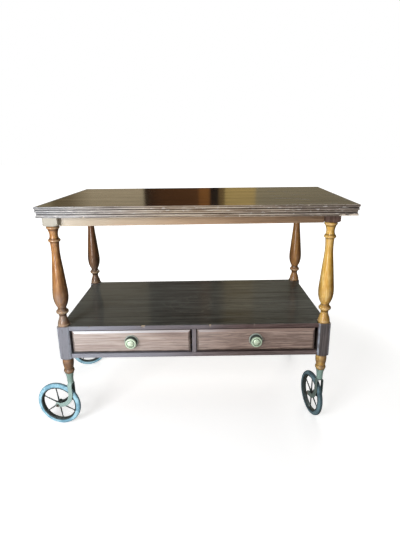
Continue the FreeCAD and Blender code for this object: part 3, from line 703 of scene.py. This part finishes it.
# painted highlight: the upper bevel is bluish white towards the left end, and the rubbed arris takes the same
# colour
rubbed = left_end_painted_light(place, (0.24, 0.16, 0.13), (0.88, 0.9, 0.95), 1.0)
body = (wear_and_painted_light.fade(0.1, 0.8) * 0.85).tint(body, rubbed)
varnish(shader, place, body, 0.32 + 0.16 * streak, streak + pore * -0.6)
drawer_stain = material
for side in ("left", "right"):
    lo, hi = span(side + "_drawer_front")
    corners = [(lo[0], lo[2]), (hi[0], lo[2]), (hi[0], hi[2]), (lo[0], hi[2])]
    section = eased([(9, hi[1]), (0, hi[1]), (0, lo[1] + BEVEL_D), (BEVEL_W, lo[1]),
                     (BEVEL_W + 6, lo[1])], (0.6, 0.5, 0.5))
    rings, outward, place = outline_rings(corners, section[:, 0], spacing=4.0)
    y = np.broadcast_to(section[:, 1, None], rings.shape[:2])
    bevel = (section[:, 0] > 0.05) & (section[:, 0] < BEVEL_W - 0.05) & (section[:, 1] < hi[1] - 3)
    # painted light: the upper bevel lit, the lower and side bevels shaded
    bevel_painted_light = 0.8 * outward[:, 1] + 0.2 * ragged(place, 11) - 0.7 * np.abs(outward[:, 0])
    arris = np.exp(-((section[:, 0] - BEVEL_W) / 0.9) ** 2) * (section[:, 1] < lo[1] + 1)
    wear_and_painted_light = bevel[:, None] * bevel_painted_light + arris[:, None] * ragged(place, 12) * 0.4
    # painted shade in the gap round the front's outer edges
    wear_and_painted_light = wear_and_painted_light - 1.0 * (section[:, 0] < 0.01)[:, None]
    grid = np.stack([rings[..., 0], y, rings[..., 1], wear_and_painted_light], -1)
    piece(side + "_drawer_face", [grid], side + "_drawer",
          [side + "_drawer_front"], drawer_stain)
    eased_board(side + "_drawer_sides", bare_across, 0.5)
    eased_board(side + "_drawer_back", bare_along, 0.5)
    eased_board(side + "_drawer_bottom", bare_along, 0.2)

# ---- Drawer knobs ----
# Cast and turned brass: a dished backplate with a raised rim, and a knob on a waisted neck whose
# face has a ring and a raised centre.  The face is rubbed bright, and the grooves are black.
PLATE_RUNS = [
    [(0, 0), (21, 0)],
    ["arc", (21, 0), (20.4, 1.8), (18.6, 2.4)],
    [(18.6, 2.4), (17.4, 1.6)],
    [(17.4, 1.6), (0, 1.6)],
]
KNOB_RUNS = [
    [(0, 1.4), (8, 1.4)],
    [(8, 1.6), (6.2, 6.5), (8, 10.5), (15.6, 13.2)],
    ["arc", (15.6, 13.2), (17, 15.4), (15.4, 17.8)],
    [(15.4, 17.8), (12.4, 18.8)],
    ["arc", (12.4, 18.8), (11, 17.6), (9.6, 18.6)],
    [(9.6, 18.6), (7.6, 19.9), (4, 20.9), (1.2, 21.18), (0, 21.2)],
]


def knob_wear_and_shade(radius, height):
    """Rubbed on the face and dark in the ring groove; painted shade at the rim's edge and underneath."""
    face = np.clip((height - 17.5) / 2, 0, 1)
    groove = np.exp(-((radius - 11) / 1.3) ** 2) * (height > 16)
    painted_shade_at_rim = np.clip((radius - 14) / 1.5, 0, 1) * 0.55
    return face - 1.8 * groove - painted_shade_at_rim - 1.0 * (height < 12)


def plate_wear_and_shade(radius, height):
    """Rubbed on the raised rim, with painted shade in the dish round the knob."""
    return np.clip((height - 1.8) / 0.5, 0, 1) - 1.2 * np.clip((19.2 - radius) / 1.2, 0, 1)


TO_FRONT = Matrix.Rotation(math.radians(90), 3, "X")
# the knob's last colour is its painted shade towards the right end
knob_brass = old_brass("knob_brass", (0.82, 0.98, 0.75), (0.83, 0.91, 0.7),
                       (0.02, 0.022, 0.018), 0.4, (0.53, 0.66, 0.48))
plate_brass = old_brass("plate_brass", (0.34, 0.4, 0.36), (0.6, 0.6, 0.5),
                        (0.012, 0.014, 0.012), 0.4)
for side in ("left", "right"):
    lo, hi = span(side + "_knob_backplate")
    seat = ((lo[0] + hi[0]) / 2, hi[1], (lo[2] + hi[2]) / 2)
    piece(side + "_knob_plate", [spun(PLATE_RUNS, seat, TO_FRONT, 56, plate_wear_and_shade)],
          side + "_drawer", [side + "_knob_backplate"], plate_brass)
    piece(side + "_turned_knob", [spun(KNOB_RUNS, seat, TO_FRONT, 56, knob_wear_and_shade)],
          side + "_drawer", [side + "_knob"], knob_brass)


def plain_steel(name, tint):
    """Steel with a light bloom of rust."""
    material, shader, place = finish(name)
    rust = speckle(place, 180.0, 5.0, 0.65).fade(0.52, 0.7)
    body = rust.tint(tint, (0.16, 0.08, 0.04))
    place.fill(shader, {"Base Color": body, "Roughness": 0.35 + 0.4 * rust,
                        "Metallic": 1.0 - 0.8 * rust})
    return material


steel = plain_steel("screw_steel", (0.42, 0.41, 0.39))
for side in ("left", "right"):
    eased_board(side + "_knob_screw", steel, 0.4)

# ---- Swivel ----
# A steel plate under the lower leaf turns on the frame.  Its stud passes through the pivot rail,
# and a washer and a nut hold it from below.
for node in ("swivel_plate", "swivel_washer", "swivel_nut"):
    eased_board(node, steel, 0.4)

# ---- Top ----
# Two boards of the same size lie one on the other, hinged along the back.  The front and both ends
# of each are moulded: fillet, ovolo, quirk and bead.  The upper face is polished, and the mouldings
# are rubbed pale.
LEAF_L, LEAF_D, LEAF_T = 886.0, 491.0, 15.2
LOWER_INSET, HALF_SEAM = 2.5, 0.15
# inset and depth of a leaf's edge from its outer face to the seam
LEAF_RUNS = [
    [(9, 0), (0.5, 0)],
    ["arc", (0.5, 0), (0.15, 0.15), (0, 0.5)],
    [(0, 0.5), (0, 1.6)],
    ["arc", (0, 1.6), (0.6, 5.7), (2.4, 8.8)],
    [(2.4, 8.8), (2.4, 9.5)],
    ["arc", (2.4, 9.5), (1.1, 12.2), (1.9, 14.7)],
    [(1.9, 14.7), (2.2, LEAF_T)],
    [(2.2, LEAF_T), (9, LEAF_T)],
]
# the arris and the bead are rubbed and the quirk holds dirt: depth, half width
LEAF_RUBBED = ((1.0, 1.1), (5.6, 2.2), (12.2, 1.9))
LEAF_QUIRKS = ((9.15, 0.8), (2.5, 0.4))
HINGE_L, HINGE_W, KNUCKLE_R = 60.0, 24.0, 2.8
GAIN_DEPTH, KNUCKLE_PLAY, END_PLAY, HINGE_OUT = 1.35, 0.5, 0.3, 0.4
HINGE_XS = (-300.0, 0.0, 300.0)
hinge = next(j for j in frame["joints"] if j["name"] == "leaf_hinge")
top_turn = math.atan2(-hinge["axis"][1], -hinge["axis"][0])
rest = next(m for m in frame["record"]["mounts"] if m["name"] == "top_surface")
TOP_MIDDLE = np.array(rest["pos_m"]) / MM
Z_SEAM = TOP_MIDDLE[2] - LEAF_T - HALF_SEAM
# knocks along the front edge: x along the leaf, half width, depth, on the upper or the lower leaf
KNOCK_REACH = 6.0
KNOCKS = {
    "upper": ((300.0, 3.0, 0.8),),
    "lower": ((421.0, 18.0, 2.2), (392.0, 12.0, 1.6), (-300.0, 4.0, 1.0), (120.0, 3.0, 0.9)),
}


def turned_to(points, turn, place):
    """Points turned about Z by an angle, then moved over the floor to their place."""
    c, s = math.cos(turn), math.sin(turn)
    moved = points.copy()
    moved[..., 0] = place[0] + points[..., 0] * c - points[..., 1] * s
    moved[..., 1] = place[1] + points[..., 0] * s + points[..., 1] * c
    return moved


def to_top(points):
    """From the leaf's own axes to where the turned top stands."""
    return turned_to(points, top_turn, TOP_MIDDLE)


def leaf_grid(place_in_stack, z_face, up, inset, seed):
    """The moulded section carried round three sides of the board, plain along the hinge side.  The
    outer face looks up for up 1 and down for up -1."""
    x, front, back = LEAF_L / 2 - inset, -LEAF_D / 2 + inset, LEAF_D / 2
    reach, depth = turning(LEAF_RUNS).T
    corners = [(-x, front), (x, front), (x, back), (-x, back)]
    rings, outward, place = outline_rings(corners, reach, plain=(2,), spacing=2.5)
    z = np.broadcast_to((z_face - up * depth)[:, None], rings.shape[:2])
    rubbed = bands(depth, LEAF_RUBBED) - 1.2 * bands(depth, LEAF_QUIRKS)
    rubbed *= np.where((depth < 0.01) | (depth > LEAF_T - 0.01), np.exp(-(reach / 1.0) ** 2), 1.0)
    moulded = np.abs(outward[:, 1] - 1) > 0.5
    wear_and_painted_light = rubbed[:, None] * moulded
    bite = np.zeros(len(place))
    along = rings[0, :, 0]
    on_front = outward[:, 1] < -0.5
    for at, wide, deep in KNOCKS[place_in_stack]:
        off = np.abs(along - at) / wide
        bite = np.maximum(bite, on_front * deep * np.clip(1 - off, 0, 1) ** 0.5)
    near_face = np.clip(1 - depth / KNOCK_REACH, 0, 1)[:, None]
    in_edge = (reach < KNOCK_REACH)[:, None]
    crest = np.clip(rubbed, 0, 1)[:, None]
    dent = near_face * bite + crest * 0.2 * ragged(place, seed, 5.0) * moulded
    rings = rings - (dent * in_edge)[..., None] * outward
    wear_and_painted_light = np.where((near_face * bite > 0.5) & in_edge, 2.0, wear_and_painted_light)
    return to_top(np.concatenate([rings, z[..., None], wear_and_painted_light[..., None]], -1))


def rod_between(start, end, radius, steps=24):
    """A round bar's grid between two points."""
    start, end = Vector(start), Vector(end)
    frame_of = (end - start).to_track_quat("Z", "Y").to_matrix()
    runs = [[(0, 0), (radius, 0)], [(radius, 0), (radius, (end - start).length)],
            [(radius, (end - start).length), (0, (end - start).length)]]
    return spun(runs, start, frame_of, steps)[..., :3]


def hinge_recesses(leaf, up):
    """Cuts the gains for the hinge plates and the hollows for the knuckles."""
    cutters = bpy.data.meshes.new("gains")
    work = bmesh.new()
    hinge_y = LEAF_D / 2 + HINGE_OUT
    for x in HINGE_XS:
        gain = np.array([(x + sx * HINGE_L / 2, y, z)
                         for sx in (-1, 1) for y in (hinge_y - HINGE_W, hinge_y + 3)
                         for z in (Z_SEAM - up * 2, Z_SEAM + up * GAIN_DEPTH)])
        hull = [work.verts.new(Vector(p) * MM) for p in to_top(gain)]
        bmesh.ops.convex_hull(work, input=hull)
        ends = to_top(np.array([(x - HINGE_L / 2 - END_PLAY, hinge_y, Z_SEAM),
                                (x + HINGE_L / 2 + END_PLAY, hinge_y, Z_SEAM)]))
        tube = rod_between(ends[0], ends[1], KNUCKLE_R + KNUCKLE_PLAY)
        barrel = [work.verts.new(Vector(p) * MM) for p in tube.reshape(-1, 3)]
        bmesh.ops.convex_hull(work, input=barrel)
    loose = [v for v in work.verts if not v.link_faces]
    bmesh.ops.delete(work, geom=loose, context="VERTS")
    work.to_mesh(cutters)
    work.free()
    tool = bpy.data.objects.new("gains", cutters)
    bpy.context.scene.collection.objects.link(tool)
    cut = leaf.modifiers.new("gains", "BOOLEAN")
    cut.operation = "DIFFERENCE"
    cut.object = tool
    cut.solver = "EXACT"
    cut.use_self = True
    evaluated = leaf.evaluated_get(bpy.context.evaluated_depsgraph_get())
    leaf.data = bpy.data.meshes.new_from_object(evaluated)
    leaf.modifiers.clear()
    bpy.data.objects.remove(tool)
    leaf.data.set_sharp_from_angle(angle=CREASE)


TOP_TONES = [(0.006, 0.003, 0.0015), (0.016, 0.007, 0.003), (0.032, 0.015, 0.006)]
material, shader, place, body, streak, pore, wear_and_painted_light = wood("top_polish", "X", TOP_TONES,
                                                         turn=top_turn)
cloud = speckle(place, (9.0, 22.0, 22.0), 5.0, 0.6, 1.0)
along = place.axis(0)
spots = cloud.fade(0.54, 0.64) * along.fade(0.16, 0.34)
lines = speckle(place, (14.0, 420.0, 420.0), 4.0, 0.6).fade(0.36, 0.6)
flecks = speckle(place, (60.0, 260.0, 260.0), 4.0, 0.65).fade(0.58, 0.66)
ends = abs(along - 0.04).fade(0.4365, 0.4385)
end_lines = speckle(place, (420.0, 14.0, 420.0), 4.0, 0.6).fade(0.36, 0.6)
lines = lines * (1.0 - ends) + end_lines * ends
flecks = flecks * (1.0 - ends)
moulding = wear_and_painted_light.fade(0.0, 0.25)
edge_tone = lines.tint((0.055, 0.037, 0.028), (0.165, 0.122, 0.096))
# painted sheen of window light on the mouldings towards the left end: honey, then cool grey nearer it
for low, high, share, reach in (((0.26, 0.165, 0.09), (0.5, 0.38, 0.25), 0.8, 0.25),
                                ((0.13, 0.15, 0.185), (0.26, 0.29, 0.33), 0.85, -0.08)):
    edge_tone = left_end_painted_light(place, edge_tone, lines.tint(low, high), share, reach)
edge_tone = (flecks * 0.6).tint(edge_tone, (0.6, 0.56, 0.52))
body = layered(
    body,
    (spots * 0.5, (0.016, 0.01, 0.008)),
    (moulding, edge_tone),
    (wear_and_painted_light.fade(0.5, 0.95) * (0.1 + 0.3 * lines), (0.62, 0.56, 0.48)),
    (wear_and_painted_light.fade(0.05, -0.7) * 0.55, (0.03, 0.022, 0.018)),
    (wear_and_painted_light.fade(1.2, 1.6), (0.62, 0.52, 0.42)))
rough = 0.15 + 0.08 * streak + 0.12 * spots + 0.3 * moulding
rows = speckle(place, (1.8, 28.0, 28.0), 5.0, 0.65)
gloss = 0.62 + 1.5 * (rows - 0.5) - 0.3 * spots + 0.6 * (cloud - 0.5)
varnish(shader, place, body, rough, streak * 0.5 + pore * -0.4, depth=0.00006, coat=gloss,
        coat_rough=0.05, level=0.25)
top_polish = material
for place_in_stack, body_name, z_face, up, inset, seed in (
        ("lower", "top", Z_SEAM - HALF_SEAM - LEAF_T, -1, LOWER_INSET, 21),
        ("upper", "fold_leaf", Z_SEAM + HALF_SEAM + LEAF_T, 1, 0.0, 31)):
    grid = leaf_grid(place_in_stack, z_face, up, inset, seed)
    leaf = piece(place_in_stack + "_board", [grid], body_name,
                 [place_in_stack + "_leaf"], top_polish)
    hinge_recesses(leaf, up)

# ---- Hinges ----
# Three brass butt hinges let into the back edges of the two leaves, each with a loose pin.
hinge_brass = old_brass("hinge_brass", (0.3, 0.3, 0.18), (0.55, 0.42, 0.18),
                        (0.04, 0.035, 0.02), 0.1)
for node in ("lower_hinge_plates", "upper_hinge_plates", "hinge_pins"):
    eased_board(node, hinge_brass, 0.15)

# ---- Casters ----
# Each fork is one bent brass strap: over the wheel, down both sides and swept back to the axle,
# with a boss and a stem that turns in the ferrule.  The wheel is plated iron with six round spokes
# in a flat rim, and carries a solid rubber tyre that has weathered blue-grey.
WHEEL_R = level("front_left_tyre", 1) / 2
RIM_R = WHEEL_R - 14.0
FORK_IN, STRAP_T, STRAP_W, SWEEP_R = 9.0, 3.0, 14.0, 42.0
Z_CROWN, BOSS_R, EYE_R = Z_CUP - 3.0, 9.0, 8.5
STEM_TOP = level("front_left_fork", 1)
SPOKES, SPOKE_R = 6, 2.1
TYRE_RUNS = [
    [(RIM_R, 6), (RIM_R + 1, 7)],
    [(RIM_R + 1, 7), (RIM_R + 4, 7.2), (WHEEL_R - 7, 7)],
    ["arc", (WHEEL_R - 5, 7), (WHEEL_R, 0), (WHEEL_R - 5, -7)],
    [(WHEEL_R - 7, -7), (RIM_R + 4, -7.2), (RIM_R + 1, -7)],
    [(RIM_R + 1, -7), (RIM_R, -6)],
    [(RIM_R, -6), (RIM_R, 6)],
]
HUB_RUNS = [
    [(3.1, 8.5), (5.2, 8.5)],
    [(5.5, 8.2), (5.5, 4)],
    [(5.5, 4), (6.6, 3.7), (8.2, 3.1), (8.5, 2.6)],
    [(8.5, 2.6), (8.5, -2.6)],
    [(8.5, -2.6), (8.2, -3.1), (6.6, -3.7), (5.5, -4)],
    [(5.5, -4), (5.5, -8.2)],
    [(5.2, -8.5), (3.1, -8.5)],
    [(3.1, -8.5), (3.1, 8.5)],
]
BOSS_RUNS = [
    [(0, Z_CROWN - 1), (BOSS_R, Z_CROWN - 1)],
    [(BOSS_R, Z_CROWN - 1), (BOSS_R, Z_CROWN + 2), (BOSS_R - 0.7, Z_CROWN + 2.7)],
    [(BOSS_R - 0.7, Z_CROWN + 2.7), (STEM_R, Z_CROWN + 2.7)],
    [(STEM_R, Z_CROWN + 2.7), (STEM_R, STEM_TOP - 1), (STEM_R - 1, STEM_TOP)],
    [(STEM_R - 1, STEM_TOP), (0, STEM_TOP)],
]
RIM_RUNS = [
    ["arc", (RIM_R, 5.6), (RIM_R - 1.6, 6.6), (RIM_R - 3, 5.4)],
    [(RIM_R - 3, 5.4), (RIM_R - 3, 2.5)],
    [(RIM_R - 3, 2.5), (RIM_R - 3.7, 0), (RIM_R - 3, -2.5)],
    [(RIM_R - 3, -2.5), (RIM_R - 3, -5.4)],
    ["arc", (RIM_R - 3, -5.4), (RIM_R - 1.6, -6.6), (RIM_R, -5.6)],
    [(RIM_R, -5.6), (RIM_R, 5.6)],
]


def tyre_wear_and_light(radius, offset):
    """A painted highlight ring on the side walls, painted shade where the tyre meets the rim, and
    darker on the tread.
    """
    tread = np.clip((radius - WHEEL_R + 2.5) / 2, 0, 1) * 0.55
    return (np.exp(-((radius - WHEEL_R + 7) / 3) ** 2) - tread
            - 1.2 * np.exp(-((radius - RIM_R) / 1.3) ** 2))


def strap_grid(trail):
    """The fork's strap: a rounded oblong section carried along eye, sweep, arm, crown and back."""
    bend = 4.0              # radius of the corners at the crown
    round_end = 1.3         # how far the eye's end is rounded, in radians
    mid = FORK_IN + STRAP_T / 2
    tail = [(trail + EYE_R - 1e-3 - EYE_R * (1 - math.cos(t)), 0.0)
            for t in np.linspace(0, round_end, 8)]
    straight = [(x, 0.0) for x in np.linspace(trail + EYE_R * math.cos(round_end) - 0.8,
                                              SWEEP_R + 0.5, 6)]
    sweep = [(SWEEP_R - SWEEP_R * math.sin(t), SWEEP_R - SWEEP_R * math.cos(t))
             for t in np.linspace(0, math.pi / 2, 26)]
    arm = [(0.0, SWEEP_R + k) for k in (6.0, 12.0, 18.0, 24.0)]
    flat = np.array(tail + straight + sweep + arm)
    x, z = flat[:, 0], WHEEL_R + flat[:, 1]
    y = np.full(len(x), mid)
    rise = np.linspace(0, math.pi / 2, 8)
    top = Z_CROWN - STRAP_T / 2
    x = np.concatenate([x, np.zeros(9)])
    y = np.concatenate([y, mid - bend * (1 - np.cos(rise)), [2.0]])
    z = np.concatenate([z, top - bend + bend * np.sin(rise), [top]])
    path = np.stack([x, y, z], 1)
    path = np.vstack([path, path[::-1] * (1, -1, 1)])
    ahead = np.gradient(path, axis=0)
    ahead /= np.linalg.norm(ahead, axis=1)[:, None]
    # the strap's flat stays square to Y on the arms and to Z on the crown
    up = np.zeros_like(path)
    side = path[:, 1] >= 0
    turn = np.arctan2(np.abs(ahead[:, 1]), np.hypot(ahead[:, 0], ahead[:, 2]))
    up[:, 1] = np.where(side, 1, -1) * np.cos(turn)
    up[:, 2] = np.sin(turn)
    wide = np.cross(up, ahead)
    wide /= np.linalg.norm(wide, axis=1)[:, None]
    off = np.hypot(path[:, 0] - trail, path[:, 2] - WHEEL_R)
    eye = np.sqrt(np.clip(EYE_R ** 2 - off ** 2, 0, None))
    half = np.where(path[:, 0] > trail, eye, np.maximum(eye, STRAP_W / 2))
    half = np.where(np.abs(ahead[:, 1]) > 0.01, STRAP_W / 2, half)
    t = np.linspace(0, 2 * math.pi, 24, endpoint=False)
    u = np.sign(np.cos(t)) * np.abs(np.cos(t)) ** 0.35
    v = np.sign(np.sin(t)) * np.abs(np.sin(t)) ** 0.7
    grid = (path[:, None] + wide[:, None] * (half[:, None] * u)[..., None]
            + up[:, None] * (STRAP_T / 2 * v)[None, :, None])
    # the strap's edges are rubbed, and its inner face is darkened as painted shade
    wear_and_painted_light = np.broadcast_to(np.abs(u) ** 6 * 0.6 - 1.3 * np.clip(-2 * v, 0, 1), grid.shape[:2])
    return np.concatenate([grid, wear_and_painted_light[..., None]], -1)


def caster_place(corner):
    """Where a caster's swivel stands, the way it heads, and how far its wheel trails behind."""
    joints = {j["name"]: j for j in frame["joints"]}
    swivel = np.array(joints[corner + "_swivel"]["pos_m"]) / MM
    spin = np.array(joints[corner + "_spin"]["pos_m"]) / MM
    away = spin - swivel
    heading = math.atan2(away[1], away[0])
    return swivel, heading, math.hypot(away[0], away[1])


def spoke_grid(turn):
    """A thin round spoke that flares a little into the rim."""
    runs = [[(SPOKE_R * 1.5, 6), (SPOKE_R * 1.25, 11), (SPOKE_R, 24), (SPOKE_R * 0.88, 40),
             (SPOKE_R, RIM_R - 7), (SPOKE_R * 1.5, RIM_R - 3)]]
    outward = Vector((math.cos(turn), 0, math.sin(turn)))
    return spun(runs, (0, 0, 0), outward.to_track_quat("Z", "Y").to_matrix(), 14)


# the fork's last colour is a darker grey-green, painted shade towards the right end
fork_brass = old_brass("fork_verdigris", (0.38, 0.52, 0.48), (0.4, 0.36, 0.24),
                       (0.012, 0.014, 0.014), 0.75, (0.15, 0.2, 0.18))

material, shader, place = finish("wheel_plating")
cloud = speckle(place, 120.0, 5.0, 0.65)
rust = cloud.fade(0.5, 0.62)
body = rust.tint((0.1, 0.125, 0.125), (0.03, 0.026, 0.022))
place.fill(shader, {"Base Color": body, "Roughness": 0.42 + 0.3 * rust,
                    "Metallic": 0.7 - 0.5 * rust, "Normal": relief(cloud, 0.0003, 0.5)})
wheel_plating = material

material, shader, place = finish("weathered_rubber")
cloud = speckle(place, 38.0, 5.0, 0.6)
dust = speckle(place, 300.0, 3.0, 0.6)
wear_and_painted_light = read_wear_and_light(place)
body = cloud.fade(0.35, 0.65).tint((0.052, 0.098, 0.123), (0.12, 0.21, 0.245))
# painted highlight: a paler ring on each side wall
body = (wear_and_painted_light.fade(0.2, 1.0) * 0.4).tint(body, (0.2, 0.27, 0.29))
# painted sheen of light, paler blue towards the left end; then dust, and the painted shade at the rim with the
# darker tread
body = layered(
    left_end_painted_light(place, body, cloud.fade(0.4, 0.6).tint((0.2, 0.41, 0.53), (0.42, 0.7, 0.82)), 0.9),
    (dust.fade(0.58, 0.7) * 0.5, (0.38, 0.48, 0.49)),
    (wear_and_painted_light.fade(-0.1, -0.8) * 0.85, (0.02, 0.028, 0.032)))
place.fill(shader, {"Base Color": body, "Roughness": 0.62 + 0.15 * dust,
                    "Normal": relief(cloud + 0.5 * dust, 0.0003, 0.4)})
weathered_rubber = material

UPRIGHT = Matrix.Rotation(math.radians(90), 3, "X")
# how far the first spoke of each wheel stands above the level, in degrees
PHASES = {"front_left": 23.0, "front_right": 30.0, "rear_left": 8.0, "rear_right": 22.0}
for corner in CORNERS:
    swivel, heading, trail = caster_place(corner)
    parts = [strap_grid(trail), spun(BOSS_RUNS, (0, 0, 0), None, 32)]
    parts = [turned_to(part, heading, swivel) for part in parts]
    piece(corner + "_strap_fork", parts, corner + "_caster", [corner + "_fork"],
          fork_brass)
    eased_board(corner + "_axle", steel, 0.3)
    hub = (trail, 0, WHEEL_R)
    parts = [spun(HUB_RUNS, hub, UPRIGHT, 32), spun(RIM_RUNS, hub, UPRIGHT, 96)]
    for n in range(SPOKES):
        turn = math.radians(PHASES[corner] + n * 360 / SPOKES)
        spoke = spoke_grid(turn)
        spoke[..., :3] += np.array(hub)
        parts.append(spoke)
    parts = [turned_to(part, heading, swivel) for part in parts]
    piece(corner + "_spoked_wheel", parts, corner + "_roller",
          [corner + "_wheel"], wheel_plating)
    rubber = turned_to(spun(TYRE_RUNS, hub, UPRIGHT, 96, tyre_wear_and_light), heading, swivel)
    piece(corner + "_rubber_tyre", [rubber], corner + "_roller", [corner + "_tyre"],
          weathered_rubber)

# ---- Floor, light and camera ----
# A pale floor under a pale sky, a large soft lamp low on the left, a weaker one on the right and
# one behind.  Walls that the camera doesn't see stand all round, so that the polish mirrors a dim
# room, with one window on the left in place of the front lamps' hard edges.
FLOOR_SIDE = 40
SHADED_FLOOR, OPEN_FLOOR = 0.75, 1.5      # how far the shadow shows, in metres from the middle
bpy.ops.mesh.primitive_plane_add(size=FLOOR_SIDE)
floor = bpy.context.object
floor.name = "floor"
material, shader, place = finish("pale_floor")
seen = place.node("LightPath", {}, output="Is Camera Ray")
distance = place.node("VectorMath", {0: place}, output="Value", operation="LENGTH")
white = 0.55 + 0.45 * distance.fade(SHADED_FLOOR, OPEN_FLOOR)
place.fill(shader, {"Base Color": (0.8, 0.8, 0.8, 1), "Roughness": 0.9, "Specular IOR Level": 0.0,
                    "Emission Color": (1, 1, 1, 1), "Emission Strength": seen * white})
floor.data.materials.append(material)


def dim_wall(name, low, high, strength, stops, shades=False):
    """A flat wall between two opposite corners that gloss sees, its colour a ramp along X from -2
    to 2 metres.  It may also shade the sky's light, but the camera never sees it."""
    (x0, y0, z0), (x1, y1, z1) = low, high
    level_one = z0 == z1
    corners = [(x0, y0, z0), (x1, y0 if level_one else y1, z0),
               (x1, y1, z1), (x0, y1 if level_one else y0, z1)]
    mesh = bpy.data.meshes.new(name)
    mesh.from_pydata(corners, [], [(0, 1, 2, 3)])
    wall = bpy.data.objects.new(name, mesh)
    bpy.context.scene.collection.objects.link(wall)
    material, shader, place = finish(name)
    along = place.axis(0)
    tone = along.node("ValToRGB", {0: along * 0.25 + 0.5}, stops=stops)
    glow = material.node_tree.nodes.new("ShaderNodeEmission")
    place.fill(glow, {0: tone, 1: strength})
    place.fill(material.node_tree.nodes["Material Output"],
               {"Surface": Wire(place.tree, glow.outputs[0])})
    mesh.materials.append(material)
    wall.visible_camera = False
    wall.visible_diffuse = shades
    wall.visible_shadow = False
    wall.visible_transmission = False


WALL_H = 2.6
TAN, DARK, GOLD = (0.43, 0.35, 0.225), (0.02, 0.012, 0.008), (0.44, 0.31, 0.11)
SLATE, ASH = (0.27, 0.225, 0.135), (0.27, 0.26, 0.24)
NIGHT, DAY = (0.02, 0.02, 0.02), (0.95, 0.97, 1.0)
ROOM = [
    (0.0, (0.3, 0.26, 0.17)), (0.145, (0.3, 0.25, 0.15)), (0.165, (0.17, 0.13, 0.07)),
    (0.2, (0.2, 0.155, 0.09)), (0.255, TAN), (0.377, TAN), (0.381, DARK),
    (0.42, (0.07, 0.03, 0.012)), (0.508, (0.085, 0.035, 0.012)), (0.512, (0.2, 0.08, 0.02)),
    (0.534, (0.22, 0.09, 0.022)), (0.538, (0.004, 0.004, 0.005)),
    (0.556, (0.006, 0.006, 0.006)), (0.559, (0.13, 0.08, 0.03)), (0.57, (0.15, 0.095, 0.035)),
    (0.5735, GOLD), (0.6435, GOLD), (0.6465, SLATE), (1.0, (0.22, 0.19, 0.13))]
WINDOW = [(0.16, NIGHT), (0.215, DAY), (0.255, DAY), (0.31, NIGHT)]
ALL_SLATE, ALL_ASH = ([(0.0, tone), (1.0, tone)] for tone in (SLATE, ASH))
for wall in (("dim_room", (-4, 2.6, 0), (4, 2.6, WALL_H), 1.0, ROOM),
             ("dim_side", (2.0, -2.6, 0), (2.0, 2.6, WALL_H), 0.25, ALL_SLATE, True),
             ("dim_end", (-2.4, -2.6, 0), (-2.4, 2.6, WALL_H), 0.3, ALL_SLATE, True),
             ("dim_front", (-4, -3.0, 0), (4, -3.0, WALL_H), 1.0, ALL_ASH),
             ("window_glow", (-1.6, -2.0, 0.3), (-0.5, -2.0, 1.6), 12.0, WINDOW),
             ("dim_floor", (-4, -0.6, 0.002), (4, 2.6, 0.002), 0.3, ALL_SLATE)):
    dim_wall(*wall)

world = bpy.data.worlds.new("pale_sky")
bpy.context.scene.world = world
world.use_nodes = True
background = world.node_tree.nodes["Background"]
sky = Wire(world.node_tree)
path = world.node_tree.nodes.new("ShaderNodeLightPath")
seen = Wire(world.node_tree, path.outputs["Is Camera Ray"])
for name in ("Is Glossy Ray", "Is Transmission Ray"):
    seen = seen.either(Wire(world.node_tree, path.outputs[name]))
sky.fill(background, {"Color": (1, 1, 1, 1), "Strength": 0.32 + 0.68 * seen})


def soft_lamp(name, place, aim, size, power, tint, mirrored):
    """A rectangular lamp at a place, turned to face its aim."""
    facing = (Vector(aim) - Vector(place)).to_track_quat("-Z", "Y").to_matrix().to_4x4()
    light = bpy.data.lights.new(name, "AREA")
    light.shape = "RECTANGLE"
    light.size, light.size_y = size
    light.energy = power
    light.color = tint
    lamp = bpy.data.objects.new(name, light)
    lamp.matrix_world = Matrix.Translation(place) @ facing
    lamp.visible_glossy = mirrored
    bpy.context.scene.collection.objects.link(lamp)


SHELF_HEIGHT = (0, 0, 0.4)
soft_lamp("left_window", (-1.05, -1.8, 0.95), (-0.1, -0.2, 0.45), (0.8, 1.2), 38,
          (0.95, 0.97, 1.0), False)
soft_lamp("front_fill", (0.75, -2.5, 1.35), SHELF_HEIGHT, (0.6, 1.3), 7, (1.0, 0.95, 0.88), False)
soft_lamp("back_fill", (0.9, 2.2, 2.5), SHELF_HEIGHT, (1.4, 1.0), 22, (1.0, 0.98, 0.95), True)

FOCAL_MM = 27.96
EYE_PLACE = (0.042, -1.3911, 0.8675)
EYE_TURN, EYE_DOWN, EYE_ROLL = 0.0003, 0.2848, -0.0147
lens = bpy.data.cameras.new("camera")
lens.lens = FOCAL_MM
camera = bpy.data.objects.new("camera", lens)
camera.matrix_world = (Matrix.Translation(EYE_PLACE) @ Matrix.Rotation(EYE_TURN, 4, "Z")
                       @ Matrix.Rotation(math.pi / 2 - EYE_DOWN, 4, "X")
                       @ Matrix.Rotation(EYE_ROLL, 4, "Z"))
bpy.context.scene.collection.objects.link(camera)
bpy.context.scene.camera = camera
bpy.context.scene.view_settings.view_transform = "Standard"
